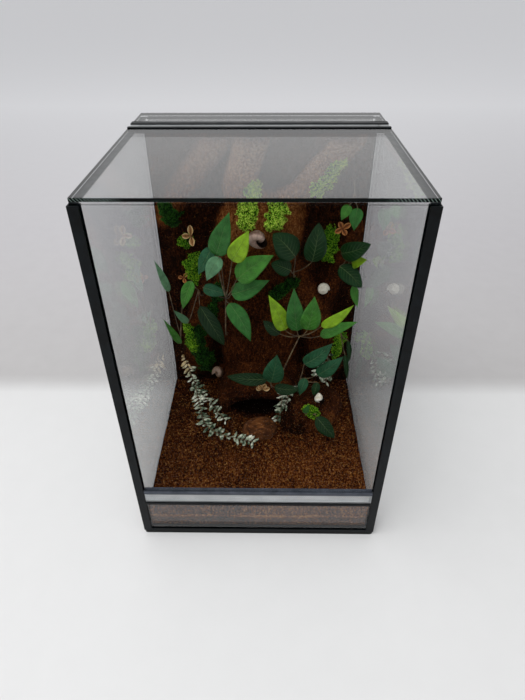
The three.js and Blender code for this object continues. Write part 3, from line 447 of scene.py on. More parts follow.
def leaf_finish():
    """Printed artificial leaf: its tint, a paler rib and side veins, satin."""
    f = Finish("leaf_green")
    along, across, ribbed = f.on_piece()
    tint = f.node("ShaderNodeAttribute", attribute_name="tint").out("Color")
    rib = 1 - f.level(abs(across), 0.01, 0.055)
    slant = (along * 8.0 - abs(across) * 2.2).fraction()
    vein = (1 - f.level(abs(slant - 0.5), 0.02, 0.1)) * f.level(abs(across), 0.95, 0.25)
    blotch = f.level(f.noise(110, 3), 0.36, 0.66)
    shaded, paler = f.mixed(blotch * 0.4, tint, "071a0b"), f.mixed(0.45, tint, "b4cc86")
    colour = f.mixed(vein * ribbed * 0.5, shaded, paler)
    colour = f.mixed(rib * (0.15 + ribbed * 0.8) * (1 - along * 0.75), colour, paler)
    roughness = f.level(blotch, 0.0, 1.0, 0.34, 0.5)
    return f.coat(colour, roughness, (blotch * 0.3 - vein * 0.7 - rib, 0.0006, 0.9), 0.2)


def stalk_finish():
    f = Finish("leaf_stalk")
    tone = f.noise(140, 3)
    return f.coat(f.ramp(tone, (0.3, "2a1c10"), (0.5, "4d3a24"), (0.7, "7d6a4a")), 0.6, (tone, 0.0004, 0.6))


def silver_finish():
    """Bloomed grey leaf; dried to straw where the first trail starts, by the left pane."""
    f = Finish("silver_leaf")
    x, _, z = f.axes()
    bloom = f.level(f.noise(240, 3), 0.36, 0.64)
    patches = f.level(f.noise(50, 2), 0.36, 0.64)
    tone = (bloom * 0.5 + patches * 0.5 + 0.05).clamped()
    fresh = f.ramp(tone, (0.12, "1f2b1c"), (0.38, "566650"), (0.62, "a2aa93"), (0.9, "e6e4d4"))
    dried = f.ramp(tone, (0.1, "6b4f30"), (0.45, "b99a68"), (0.85, "e8d8b0"))
    straw = f.level(x, -0.110, -0.120) * f.level(z, 0.055, 0.07)
    return f.coat(f.mixed(straw, fresh, dried), 0.65, (bloom, 0.0003, 0.5), 0.25)


# ------------------------ meshes


class Shape:
    """Faces gathered in millimetres; each point has a place on its own part and a tint."""

    def __init__(self):
        self.points, self.faces, self.kinds, self.places, self.tints = [], [], [], [], []

    def add(self, points, faces, kind=0, places=None, tint=(1, 1, 1, 1)):
        start = len(self.points)
        self.points += [tuple(p) for p in points]
        self.places += list(places or [PLAIN] * len(points))
        self.tints += [tint] * len(points)
        self.faces += [tuple(start + k for k in face) for face in faces]
        self.kinds += [kind] * len(faces)

    def mesh(self, name, *materials):
        mesh = bpy.data.meshes.new(name)
        mesh.from_pydata([Vector(p) * MM for p in self.points], [], self.faces)
        for material in materials:
            mesh.materials.append(material)
        mesh.polygons.foreach_set("material_index", self.kinds)
        smooth_faces(mesh)
        marked(mesh, "place", "FLOAT_VECTOR", "vector", self.places)
        marked(mesh, "tint", "FLOAT_COLOR", "color", self.tints)
        mesh.update()
        return mesh

    def made(self, name, *materials, closed=False):
        """The shape as an object; the faces of a closed one are made to point out."""
        mesh = self.mesh(name, *materials)
        return linked(name, outward(mesh) if closed else mesh)


def marked(mesh, name, kind, slot, rows):
    """A value at each point of a mesh, for its finish to read."""
    mesh.attributes.new(name, kind, "POINT").data.foreach_set(slot, [c for row in rows for c in row])


def smooth_faces(mesh, smooth=True):
    mesh.polygons.foreach_set("use_smooth", [smooth] * len(mesh.polygons))


def outward(mesh):
    """Merges doubles and makes every face of a closed mesh point out."""
    work = bmesh.new()
    work.from_mesh(mesh)
    bmesh.ops.remove_doubles(work, verts=work.verts, dist=1e-6)
    bmesh.ops.recalc_face_normals(work, faces=work.faces)
    work.to_mesh(mesh)
    work.free()
    return mesh


def linked(name, mesh):
    obj = bpy.data.objects.new(name, mesh)
    bpy.context.scene.collection.objects.link(obj)
    return obj


def dropped(*helpers):
    for helper in helpers:
        bpy.data.objects.remove(helper)


def joined(name, *meshes):
    """One mesh of several, keeping their materials."""
    parts = [linked(f"{name}_{k}", mesh) for k, mesh in enumerate(meshes)]
    with bpy.context.temp_override(
        active_object=parts[0], selected_objects=parts, selected_editable_objects=parts
    ):
        bpy.ops.object.join()
    parts[0].name = parts[0].data.name = name
    return parts[0]


def settle(obj, slot, *replaced):
    """A finished piece: it rides on the cabinet and hides the nodes it stands for; its slot is not used."""
    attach(obj, "cabinet")
    if replaced:
        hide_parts(*replaced)


def around(sides):
    """Angles of that many points round a circle."""
    return [2 * math.pi * k / sides for k in range(sides)]


def hoops(rings, sides):
    """Faces between rings + 1 circles of points."""
    pairs = [(r * sides + k, r * sides + (k + 1) % sides) for r in range(rings) for k in range(sides)]
    return [(a, b, b + sides, a + sides) for a, b in pairs]


def ball(rings, sides, pole, place):
    """Points place(ring, a, b): a goes down from pole to pole ring by ring, and b round each ring."""
    return [
        place(ring, math.pi * (pole + (1 - 2 * pole) * ring / rings), b)
        for ring in range(rings + 1) for b in around(sides)
    ]


def tube(shape, route, radii, sides=8, kind=0):
    """A closed round tube along a route, its frame carried along without twisting."""
    points, places = [], []
    last = len(route) - 1
    side = None
    for i, at in enumerate(route):
        along = (route[min(i + 1, last)] - route[max(i - 1, 0)]).normalized()
        if side is None:
            side = along.orthogonal().normalized()
        side = (side - along * side.dot(along)).normalized()
        other = along.cross(side)
        for k, turn in enumerate(around(sides)):
            points.append(at + (side * math.cos(turn) + other * math.sin(turn)) * radii[i])
            places.append((i / last, k / sides, 0.0))
    ends = [tuple(reversed(range(sides))), tuple(range(last * sides, (last + 1) * sides))]
    shape.add(points, hoops(last, sides) + ends, kind, places)


def curve_through(points, steps):
    """Points on a smooth curve through the given ones."""
    knots = [Vector(p) for p in points]
    knots = [knots[0] * 2 - knots[1], *knots, knots[-1] * 2 - knots[-2]]
    found = []
    for i in range(1, len(knots) - 2):
        p0, p1, p2, p3 = knots[i - 1 : i + 3]
        for s in range(steps):
            t = s / steps
            found.append(
                0.5 * (2 * p1 + (p2 - p0) * t + (2 * p0 - 5 * p1 + 4 * p2 - p3) * t * t
                       + (3 * p1 - p0 - 3 * p2 + p3) * t**3)
            )
    found.append(knots[-2])
    return found


def slab(shape, low, high):
    (x0, y0, z0), (x1, y1, z1) = low, high
    points = [(x, y, z) for z in (z0, z1) for y in (y0, y1) for x in (x0, x1)]
    shape.add(points, [(0, 2, 3, 1), (4, 5, 7, 6), (0, 1, 5, 4), (2, 6, 7, 3), (0, 4, 6, 2), (1, 3, 7, 5)])


def over_grid(u_range, v_range, columns, rows):
    (u0, u1), (v0, v1) = u_range, v_range
    return [
        (u0 + (u1 - u0) * i / columns, v0 + (v1 - v0) * j / rows)
        for j in range(rows + 1) for i in range(columns + 1)
    ]


def grid_faces(columns, rows):
    wide = columns + 1
    corners = [j * wide + i for j in range(rows) for i in range(columns)]
    return [(a, a + 1, a + wide + 1, a + wide) for a in corners]


def grid_rim(columns, rows):
    """The points round a grid's edge, in order, each with the next one."""
    wide, last = columns + 1, (columns + 1) * (rows + 1) - 1
    rim = [*range(columns), *range(columns, last, wide)]
    rim += [*range(last, last - columns, -1), *range(last - columns, 0, -wide)]
    return list(zip(rim, rim[1:] + rim[:1]))


def relief_block(shape, u_range, v_range, columns, rows, surface, floor, crest=None):
    """A closed block: surface(u, v) over a grid, floor(u, v) under its rim."""
    spots = over_grid(u_range, v_range, columns, rows)
    faces, rim = grid_faces(columns, rows), grid_rim(columns, rows)
    points = [surface(*spot) for spot in spots] + [floor(*spots[a]) for a, _ in rim]
    places = [(*crest(*spot), 0.0) if crest else PLAIN for spot in spots] + [PLAIN] * len(rim)
    start, size = len(spots), len(rim)
    faces += [(a, start + k, start + (k + 1) % size, b) for k, (a, b) in enumerate(rim)]
    faces.append(tuple(start + k for k in reversed(range(size))))
    shape.add(points, faces, 0, places)


def ground(name, surface, u_range, v_range, columns, rows):
    """An open sheet over part of a surface, for scattering on."""
    shape = Shape()
    spots = over_grid(u_range, v_range, columns, rows)
    shape.add([surface(*spot) for spot in spots], grid_faces(columns, rows))
    return shape.made(name)


def sheet(shape, nu, nv, both_sides, tint=(1, 1, 1, 1)):
    """A closed thin sheet: both_sides(i, v) is a point, the one under it, and their place, i from 0 to nu
    and v from -1 to 1."""
    top, under, places = zip(*[both_sides(i, 2 * j / nv - 1) for i in range(nu + 1) for j in range(nv + 1)])
    count = len(top)
    faces = []
    for face in grid_faces(nv, nu):
        faces += [face, tuple(k + count for k in reversed(face))]
    faces += [(b, a, a + count, b + count) for a, b in grid_rim(nv, nu)]
    shape.add(top + under, faces, 0, places + places, tint)


# ------------------------ growths made with Geometry Nodes


class Growth:
    """A Geometry Nodes tree with named inputs, run once and kept as a plain mesh."""

    def __init__(self, name, **sizes):
        self.group = bpy.data.node_groups.new(name, "GeometryNodeTree")
        face = self.group.interface
        face.new_socket("Geometry", in_out="INPUT", socket_type="NodeSocketGeometry")
        self.ids = {}
        self.sizes = sizes
        kinds = {int: "NodeSocketInt", float: "NodeSocketFloat", bpy.types.Object: "NodeSocketObject"}
        for key, value in sizes.items():
            socket = face.new_socket(key, in_out="INPUT", socket_type=kinds[type(value)])
            self.ids[key] = socket.identifier
        face.new_socket("Geometry", in_out="OUTPUT", socket_type="NodeSocketGeometry")
        self.size = self.group.nodes.new("NodeGroupInput").outputs

    def node(self, kind, inputs=None, **settings):
        return new_node(self.group, kind, inputs or {}, settings).outputs

    def maths(self, operation, *terms):
        return self.node("ShaderNodeMath", dict(enumerate(terms)), operation=operation)[0]

    def vector(self, *parts):
        return self.node("ShaderNodeCombineXYZ", dict(enumerate(parts)))[0]

    def turned(self, rotation, low, high, seed):
        """A rotation turned on about its own axes, by random angles between low and high."""
        angles = self.node("FunctionNodeRandomValue", {0: low, 1: high, 8: seed}, data_type="FLOAT_VECTOR")[0]
        by = self.node("FunctionNodeEulerToRotation", {0: angles})[0]
        return self.node("FunctionNodeRotateRotation", {0: rotation, 1: by}, rotation_space="LOCAL")[0]

    def copies(self, points, rotation=None, seed=None):
        """The object given as Bit at each point, sized between Smallest and Largest if there is a seed."""
        inputs = {"Points": points}
        inputs["Instance"] = self.node("GeometryNodeObjectInfo", {0: self.size["Bit"]})["Geometry"]
        if seed is not None:
            between = {2: self.size["Smallest"], 3: self.size["Largest"], 8: seed}
            inputs["Rotation"] = rotation
            inputs["Scale"] = self.node("FunctionNodeRandomValue", between, data_type="FLOAT")[1]
        return self.node("GeometryNodeInstanceOnPoints", inputs)[0]

    def merged(self, geometry):
        return self.node("GeometryNodeMergeByDistance", {"Geometry": geometry, "Distance": 0.00002})[0]

    def grown(self, base, geometry, material):
        real = self.node("GeometryNodeRealizeInstances", {0: geometry})[0]
        painted = self.node("GeometryNodeSetMaterial", {"Geometry": real, "Material": material})[0]
        self.node("NodeGroupOutput", {0: painted})
        modifier = base.modifiers.new("growth", "NODES")
        modifier.node_group = self.group
        for key, value in self.sizes.items():
            modifier[self.ids[key]] = value
        depsgraph = bpy.context.evaluated_depsgraph_get()
        mesh = bpy.data.meshes.new_from_object(
            base.evaluated_get(depsgraph), preserve_all_data_layers=True, depsgraph=depsgraph
        )
        base.modifiers.remove(modifier)
        return mesh


def scattered(name, base, bit, material, density, seed, smallest, largest, lean):
    """Copies of one bit over a base mesh, stood on it and turned and leant at random."""
    g = Growth(
        name, Density=float(density), Seed=seed, Smallest=smallest, Largest=largest, Lean=lean, Bit=bit,
    )
    points = g.node("GeometryNodeDistributePointsOnFaces", {
        "Mesh": g.size["Geometry"], "Density": g.size["Density"], "Seed": g.size["Seed"],
    })
    lean, back = g.size["Lean"], g.maths("MULTIPLY", g.size["Lean"], -1.0)
    stood = g.turned(
        points["Rotation"], g.vector(back, back, 0.0), g.vector(lean, lean, 2 * math.pi), seed + 1
    )
    mesh = g.grown(base, g.copies(points["Points"], stood, seed + 2), material)
    mesh.name = name
    return mesh


def perforated(name, length, width, cell, row, hole, thickness, material):
    """A sheet of staggered round holes, made of six-sided cells, then given its thickness."""
    tile = Shape()
    outer = [(-0.5, -0.5), (0, -0.5), (0.5, -0.5), (0.5, 0.5), (0, 0.5), (-0.5, 0.5)]
    points = [(u * cell, v * row, 0) for u, v in outer]
    for k in range(6):
        turn = math.radians(210 + 60 * k)
        points.append((hole / 2 * math.cos(turn), hole / 2 * math.sin(turn), 0))
    tile.add(points, hoops(1, 6))
    bit = tile.made(name + "_cell")
    base = linked(name + "_base", bpy.data.meshes.new(name + "_base"))
    g = Growth(
        name, Cell=cell * MM, Row=row * MM, Columns=int(length / cell), Rows=int(width / row),
        Thickness=thickness * MM, Bit=bit,
    )
    size = g.size
    lattice = g.node("GeometryNodeMeshGrid", {
        "Size X": g.maths("MULTIPLY", size["Cell"], g.maths("SUBTRACT", size["Columns"], 1.0)),
        "Size Y": g.maths("MULTIPLY", size["Row"], g.maths("SUBTRACT", size["Rows"], 1.0)),
        "Vertices X": size["Columns"],
        "Vertices Y": size["Rows"],
    })[0]
    in_row = g.maths("MODULO", g.node("GeometryNodeInputIndex")[0], size["Rows"])
    shift = g.maths("MULTIPLY", g.maths("MODULO", in_row, 2.0), g.maths("MULTIPLY", size["Cell"], 0.5))
    staggered = g.node("GeometryNodeSetPosition", {"Geometry": lattice, "Offset": g.vector(shift)})[0]
    real = g.node("GeometryNodeRealizeInstances", {0: g.copies(staggered)})[0]
    face = g.merged(real)
    walls = g.node("GeometryNodeExtrudeMesh", {
        "Mesh": face, "Offset": g.vector(0.0, 0.0, g.maths("MULTIPLY", size["Thickness"], -1.0)),
        "Offset Scale": 1.0, "Individual": False,
    })["Mesh"]
    both = g.node("GeometryNodeJoinGeometry", {0: walls})[0]
    g.group.links.new(face, both.node.inputs[0])
    mesh = g.grown(base, g.merged(both), material)
    dropped(bit, base)
    return mesh


def thread(name, length, radius, bend, rise):
    """A short bent fibre, three-sided, for scattering."""
    shape = Shape()
    route = []
    for k in range(4):
        t = k / 3 - 0.5
        route.append(Vector((length * t, bend * (0.25 - t * t) * 4, rise * (0.25 - t * t) * 4)))
    tube(shape, route, [radius * r for r in (0.5, 1, 1, 0.4)], 3)
    return shape.made(name)


def moss_bit(name, seed, blades, length):
    """A curly tuft: narrow blades that fork out of one root."""
    shape = Shape()
    pick = random.Random(seed)
    for _ in range(blades):
        turn = pick.uniform(0, 2 * math.pi)
        lean = pick.uniform(0.2, 1.2)
        reach = length * pick.uniform(0.6, 1.15)
        out = Vector((math.cos(turn), math.sin(turn), 0))
        side = Vector((-math.sin(turn), math.cos(turn), 0))
        points, places = [], []
        for k in range(3):
            t = k / 2
            centre = out * (reach * math.sin(lean) * t) + UP * (reach * math.cos(lean) * t)
            centre += side * (0.3 * reach * math.sin(5 * t + turn)) - UP * (0.25 * reach * t * t)
            half = reach * (0.1, 0.2, 0.13)[k]
            points += [centre - side * half, centre + UP * (half * 0.7), centre + side * half]
            places += [(t, 0.0, 0.0)] * 3
        shape.add(points, [(2, 1, 0), (6, 7, 8), *hoops(2, 3)], 0, places)
    return shape.made(name, closed=True)


# ------------------------ camera, floor and light


def set_camera():
    data = bpy.data.cameras.new("camera")
    data.lens = 26.296
    data.sensor_width = 36.0
    data.sensor_fit = "AUTO"
    data.clip_start = 0.01
    camera = linked("camera", data)
    camera.location = (0.01278, -0.54189, 0.59942)
    camera.rotation_euler = [math.radians(a) for a in (52.8941, 0.2296, 0.7547)]
    bpy.context.scene.camera = camera


def set_stage():
    f = Finish("pale_floor")
    _, y, _ = f.axes()
    # Grey from about 0.16 m behind the middle, then paler again to near white by 2.4 m: painted shade
    # standing for a wall behind the cabinet, and painted light far off.
    colour = f.ramp(
        f.level(y, 0.0, 4.0),
        (0.0, "d8d8d8"), (0.031, "d6d6d6"), (0.041, "b2b0b0"), (0.2, "c8c6c9"), (0.6, "fafafd"),
    )
    colour = f.mixed(0.08 * f.noise(30, 3), colour, "ffffff")
    shape = Shape()
    slab(shape, (-60000, -60000, -20), (60000, 60000, 0))
    floor = shape.made("floor", f.coat(colour, 0.6))
    smooth_faces(floor.data, False)


def area_light(name, place, aim, size, watts):
    data = bpy.data.lights.new(name, "AREA")
    data.shape = "RECTANGLE"
    data.size, data.size_y = size
    data.energy = watts
    light = linked(name, data)
    light.location = place
    light.visible_glossy = False
    light.rotation_euler = (Vector(aim) - Vector(place)).to_track_quat("-Z", "Y").to_euler()


def set_light():
    world = bpy.data.worlds.new("studio")
    world.use_nodes = True
    world.node_tree.nodes["Background"].inputs[0].default_value = (0.985, 0.99, 1.0, 1)
    world.node_tree.nodes["Background"].inputs[1].default_value = 0.6
    bpy.context.scene.world = world
    area_light("ceiling", (-0.5, -0.35, 2.1), (0, 0, 0.2), (1.1, 1.1), 28)
    area_light("front_fill", (-0.4, -1.5, 1.5), (0, 0, 0.2), (1.2, 0.9), 5)
    bpy.context.scene.view_settings.view_transform = "Standard"


# ------------------------ the cabinet


def dress_cabinet():
    """Finishes on the solids that stay as they are, and rounded arrises on the plastic."""
    sides, flats = clear_glass(0, 0.055, 0.95), clear_glass(2, 0.09, 0.98)
    dressed = {
        "left_glass": sides,
        "right_glass": sides,
        "base_glass": flats,
        "rear_top_glass": flats,
        "top_glass": clear_glass(2, 0.09, 0.98, "hatched"),
        "back_glass": clear_glass(1, 0.02, 0.95),
        "sill_glass": clear_glass(1, 0.065, 0.95, "sill"),
        "front_glass": clear_glass(1, 0.0, 0.99, "door", 0.2, 0.3),
        "base_pad": foam(),
    }
    across = black_plastic("black_plastic_across", 0)
    endings = {"_profile": across, "_rail": across, "_seal": sealant()}
    endings["_channel"] = black_plastic("black_plastic_upright", 2)
    for node in nodes:
        for ending, finish in endings.items():
            if node.endswith(ending):
                dressed[node] = finish
    # The door rest bar is painted a lighter slate grey over the black plastic: painted reflection of the pale
    # room on its upward face.
    dressed["door_rest_profile"] = black_plastic("bar_plastic_painted_reflection", 0, "3a3e46", "5a5e68", 0.5)
    for node, finish in dressed.items():
        slots = nodes[node].material_slots
        if slots:
            slots[0].material = finish
        else:
            nodes[node].data.materials.append(finish)
        if node.endswith(("_channel", "_profile", "_rail")):
            weld = nodes[node].modifiers.new("weld", "WELD")
            weld.merge_threshold = 0.00001
            bevel = nodes[node].modifiers.new("bevel", "BEVEL")
            bevel.width = 0.00022
            bevel.segments = 2
            bevel.limit_method = "ANGLE"


# The perforated strips: pitch along and across, hole, sheet, where the holes end along the strip, and how
# much of its width has none.
CELL, ROW, HOLE, SHEET = 2.5, 2.17, 1.85, 0.8
HOLES_END, PLAIN_WIDTH = 139.0, 4.2


def grille(name, node, metal, half_length, half_width, hem, place):
    """A perforated strip with plain, hemmed margins."""
    rows = int((2 * half_width - PLAIN_WIDTH) / ROW)
    holes = perforated(name + "_holes", 2 * HOLES_END, rows * ROW + 0.01, CELL, ROW, HOLE, SHEET, metal)
    half_rows = rows * ROW / 2 - 0.2
    margins = Shape()
    slab(margins, (-half_length, half_rows, -SHEET), (half_length, half_width, 0))
    slab(margins, (-half_length, -half_width, -SHEET), (half_length, -half_rows, 0))
    for side in (-1, 1):
        x = sorted((side * (HOLES_END - 1.8), side * half_length))
        slab(margins, (x[0], -half_rows, -SHEET), (x[1], half_rows, 0))
        y = sorted((side * (half_width - SHEET), side * half_width))
        slab(margins, (-half_length, y[0], -hem), (half_length, y[1], -SHEET))
    whole = joined(name, margins.mesh(name + "_margins", metal), holes)
    smooth_faces(whole.data, False)
    whole.data.transform(place)
    settle(whole, "perforated_aluminium", node)


def grilles():
    metal = aluminium()
    low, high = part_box("top_vent_grille")
    middle = (low + high) / 2
    grille(
        "roof_grille", "top_vent_grille", metal, (high.x - low.x) / 2 / MM,
        (high.y - low.y) / 2 / MM, (high.z - low.z) / MM, Matrix.Translation((middle.x, middle.y, high.z)),
    )
    low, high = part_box("front_vent_grille")
    middle = (low + high) / 2
    upright = Matrix.Translation((middle.x, low.y, middle.z)) @ Matrix.Rotation(math.pi / 2, 4, "X")
    grille(
        "front_grille", "front_vent_grille", metal, (high.x - low.x) / 2 / MM,
        (high.z - low.z) / 2 / MM, (high.y - low.y) / MM, upright,
    )


# ------------------------ ground and background


def rough(point, scale):
    return noise.fractal(Vector(point) * scale, 0.7, 2.1, 4)


def lay_bed(fibre):
    """The bed, its crumbled surface, and loose fibre on it."""

    def surface(x, y):
        edge = min(HALF_INSIDE - abs(x), y - BED_FRONT, BED_REAR - y)
        crumble = 0.9 * rough((x, y, 0), 0.09) + 0.45 * rough((x, y, 9), 0.35)
        return (x, y, bed_height(x, y) + crumble * smoothstep(edge, -1, 3))

    shape = Shape()
    relief_block(
        shape, (-HALF_INSIDE, HALF_INSIDE), (BED_FRONT, BED_REAR), 150, 140,
        surface, lambda x, y: (x, y, BED_LOW),
    )
    settle(shape.made("fibre_bed", coconut_bed()), "coconut_fibre", "substrate_bed")
    inset = 3.5
    base = ground(
        "bed_top", surface, (-HALF_INSIDE + inset, HALF_INSIDE - inset),
        (BED_FRONT + inset, BED_REAR - inset), 60, 56,
    )
    strand = thread("strand", 4.2, 0.18, 0.8, 0.9)
    crumb_shape = Shape()
    crumb_shape.add(
        [(0.6, 0, 0.1), (0, 0.45, 0.1), (-0.5, 0.1, 0.1), (0, -0.45, 0.1), (0.1, 0, 0.5), (0, 0, -0.3)],
        [(0, 1, 4), (1, 2, 4), (2, 3, 4), (3, 0, 4), (1, 0, 5), (2, 1, 5), (3, 2, 5), (0, 3, 5)],
    )
    crumb = crumb_shape.made("crumb")
    fibres = scattered("bed_fibres", base, strand, fibre, 62000, 3, 0.5, 1.5, 0.22)
    crumbs = scattered("bed_crumbs", base, crumb, fibre, 150000, 8, 0.6, 1.7, 0.5)
    settle(joined("bed_fibres", fibres, crumbs), "coconut_fibre")
    dropped(base, strand, crumb)


# The right limb's lit crest lies this far to the right of the solid's, from these levels up.
CREST_SHIFT, SHIFT_START, SHIFT_FULL = 11, 296, 330


def carve_background(skin):
    """The carved background: limbs with creases and knots, rough with fibre."""

    def surface(x, z):
        thick = panel_thickness(x, z)
        inner = smoothstep(min(HALF_INSIDE - abs(x), z - PANEL_LOW, PANEL_HIGH - z), 0, 7)
        crease = 1.9 * rough((x * 1.5, z * 0.35, 3), 0.06) * smoothstep(limb_rise(x, z), 2, 12)
        lumps = 1.5 * rough((x, z, 0), 0.045) + 0.8 * rough((x, z, 5), 0.16)
        above_bed = smoothstep(z, 40, 60)
        return (x, PANEL_BACK - thick - (crease + lumps) * inner * above_bed, z)

    def crest(x, z):
        """How much painted light the skin has, lighter and redder on the lit limbs and higher up, and how
        much of it lies high up, where painted light makes it paler.
        """
        shift = CREST_SHIFT * smoothstep(x, 18, 44) * smoothstep(z, SHIFT_START, SHIFT_FULL)
        rounded = smoothstep(z, 432, 416)
        lit = smoothstep(limb_rise(x - shift, z), 1, 17) * (0.4 + 0.5 * smoothstep(z, 240, 320)) * rounded
        return min(1.0, lit + 0.1 * smoothstep(z, 40, 300)), smoothstep(z, 345, 400)

    shape = Shape()
    relief_block(
        shape, (-HALF_INSIDE, HALF_INSIDE), (PANEL_LOW, PANEL_HIGH), 140, 200,
        surface, lambda x, z: (x, PANEL_BACK, z), crest,
    )
    settle(shape.made("carved_back", skin), "carved_background", "background_panel")
    base = ground(
        "back_face", surface, (-HALF_INSIDE + 3, HALF_INSIDE - 3), (BED_FLOOR + 4, PANEL_HIGH - 3), 70, 100,
    )
    strand = thread("strand", 3.2, 0.12, 0.6, 0.6)
    rusty = loose_fibre("rusty_fibre", 0.75)
    fibres = scattered("back_fibres", base, strand, rusty, 60000, 21, 0.5, 1.4, 0.35)
    settle(linked("back_fibres", fibres), "carved_background")
    dropped(base, strand)


def resurfaced(name, node, finish, voxel, swell, scale, stretch=(1, 1, 1)):
    """A CAD solid's form with a rounded, uneven surface."""
    source = nodes[node].data.copy()
    source.materials.clear()
    obj = linked(name, outward(source))
    remesh = obj.modifiers.new("remesh", "REMESH")
    remesh.mode = "VOXEL"
    remesh.voxel_size = voxel * MM
    smooth = obj.modifiers.new("smooth", "SMOOTH")
    smooth.factor = 0.5
    smooth.iterations = 4
    depsgraph = bpy.context.evaluated_depsgraph_get()
    mesh = bpy.data.meshes.new_from_object(obj.evaluated_get(depsgraph), depsgraph=depsgraph)
    obj.modifiers.clear()
    obj.data = mesh
    mesh.name = name
    mesh.materials.append(finish)
    normals = [v.normal.copy() for v in mesh.vertices]
    for vertex, normal in zip(mesh.vertices, normals):
        at = vertex.co / MM
        place = (at.x * stretch[0], at.y * stretch[1], at.z * stretch[2])
        vertex.co += normal * MM * swell * (rough(place, scale) + 0.4 * rough(place, scale * 4))
    smooth_faces(mesh)
    return obj


def cave_and_bark(skin, fibre):
    """The ledge over the cave, with painted shade near black in its mouth and painted light on its rim and
    right flank, and the bark before it.
    """
    ledge = resurfaced("cave_ledge", "cave_arch", skin, 1.8, 1.1, 0.06)
    places = []
    for vertex in ledge.data.vertices:
        x, _, z = vertex.co / MM
        # Painted shade in the cave's mouth and painted light on its rim and right flank, read by the skin as
        # its crest.
        painted_mouth_shade = smoothstep(abs(x), 54, 48) * smoothstep(z, 66, 60)
        painted_rim_light = 0.12 + 0.3 * smoothstep(z, 40, 92) + 0.3 * noise.noise(vertex.co * 40)
        painted_rim_light += 0.35 * smoothstep(x, 56, 74) * smoothstep(z, 70, 40)
        places.append((painted_rim_light * (1 - painted_mouth_shade), 0.0, 0.0))
    marked(ledge.data, "place", "FLOAT_VECTOR", "vector", places)
    settle(ledge, "carved_background", "cave_arch")
    strand = thread("strand", 4.0, 0.13, 0.7, 0.7)
    fibres = scattered("ledge_fibres", ledge, strand, fibre, 60000, 31, 0.4, 1.1, 0.3)
    settle(linked("ledge_fibres", fibres), "carved_background")
    dropped(strand)
    bark = resurfaced("bark_slab", "bark_piece", worn_bark(), 1.0, 0.8, 0.09, (0.6, 1, 1.6))
    settle(bark, "driftwood", "bark_piece")


# ------------------------ shells and pods


def middle_of(node):
    low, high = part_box(node)
    return (low + high) / 2 / MM


def snail(name, node, radius, turn, finish, mouth, tall=1.0, ahead=0.0):
    """A globe snail: one tube that widens as it winds down from the spire to its mouth."""
    centre = middle_of(node) - Vector((0, ahead, 0))
    turns, per_turn, sides = 3.6, 26, 16
    shrink = 0.30
    rings = int(turns * per_turn)
    points, places = [], []
    for r in range(rings + 1):
        wound = 2 * math.pi * turns * (1 - r / rings)
        s = math.exp(-shrink * wound / math.pi * 0.62)
        out = Vector((math.cos(wound), math.sin(wound), 0))
        hub = out * (0.5 * s) + UP * (1.15 * (1 - s) - 0.35)
        for k, a in enumerate(around(sides)):
            points.append((hub + out * (0.52 * s * math.cos(a)) + UP * (0.56 * s * math.sin(a))) * radius)
            places.append((r / rings, k / sides, 0.0))
    shape = Shape()
    shape.add(points, [*hoops(rings, sides), tuple(reversed(range(sides)))], 0, places)
    lip = points[-sides:]
    middle = sum(lip, Vector()) / sides
    inward = AHEAD * -0.35 * radius
    inner = [middle + (p - middle) * 0.8 for p in lip]
    deep = [middle + (p - middle) * 0.55 + inward for p in lip]
    shape.add(lip + inner + deep, [*hoops(2, sides), tuple(range(2 * sides, 3 * sides))], 1)
    obj = shape.made(name, finish, mouth, closed=True)
    turned = Matrix()
    for angle, axis in zip(turn, "XYZ"):
        turned = Matrix.Rotation(angle, 4, axis) @ turned
    obj.data.transform(Matrix.Translation(centre * MM) @ turned @ Matrix.Diagonal((1, 1, tall, 1)))
    settle(obj, "brown_shell" if "brown" in finish.name else "pale_shell", node)


def add_shells():
    mouth = painted_shade_mouth()
    brown = shell_finish("brown_shell", "8a6c5e", "4e382e", "a58c7e")
    # A darker copy of the brown shell for the left snail: painted shade of the leaves over it.
    shaded_brown = shell_finish("brown_shell_painted_shade", "5c4637", "33241b", "776050")
    pale = shell_finish("pale_shell", "ddd8c8", "b9ae96", "f0ece0")
    snail("snail_upper", "snail_shell_upper", 15.0, (-0.95, 0.35, 0.1), brown, mouth, ahead=4.0)
    snail("snail_right", "snail_shell_right", 10.2, (1.15, 0.2, 0.0), pale, mouth)
    snail("snail_left", "snail_shell_left", 11.4, (-0.9, 2.2, -0.3), shaded_brown, mouth, ahead=13.0)
    snail("snail_low", "snail_shell_low", 8.0, (-0.7, 0.0, 0.0), pale, mouth, tall=1.35)


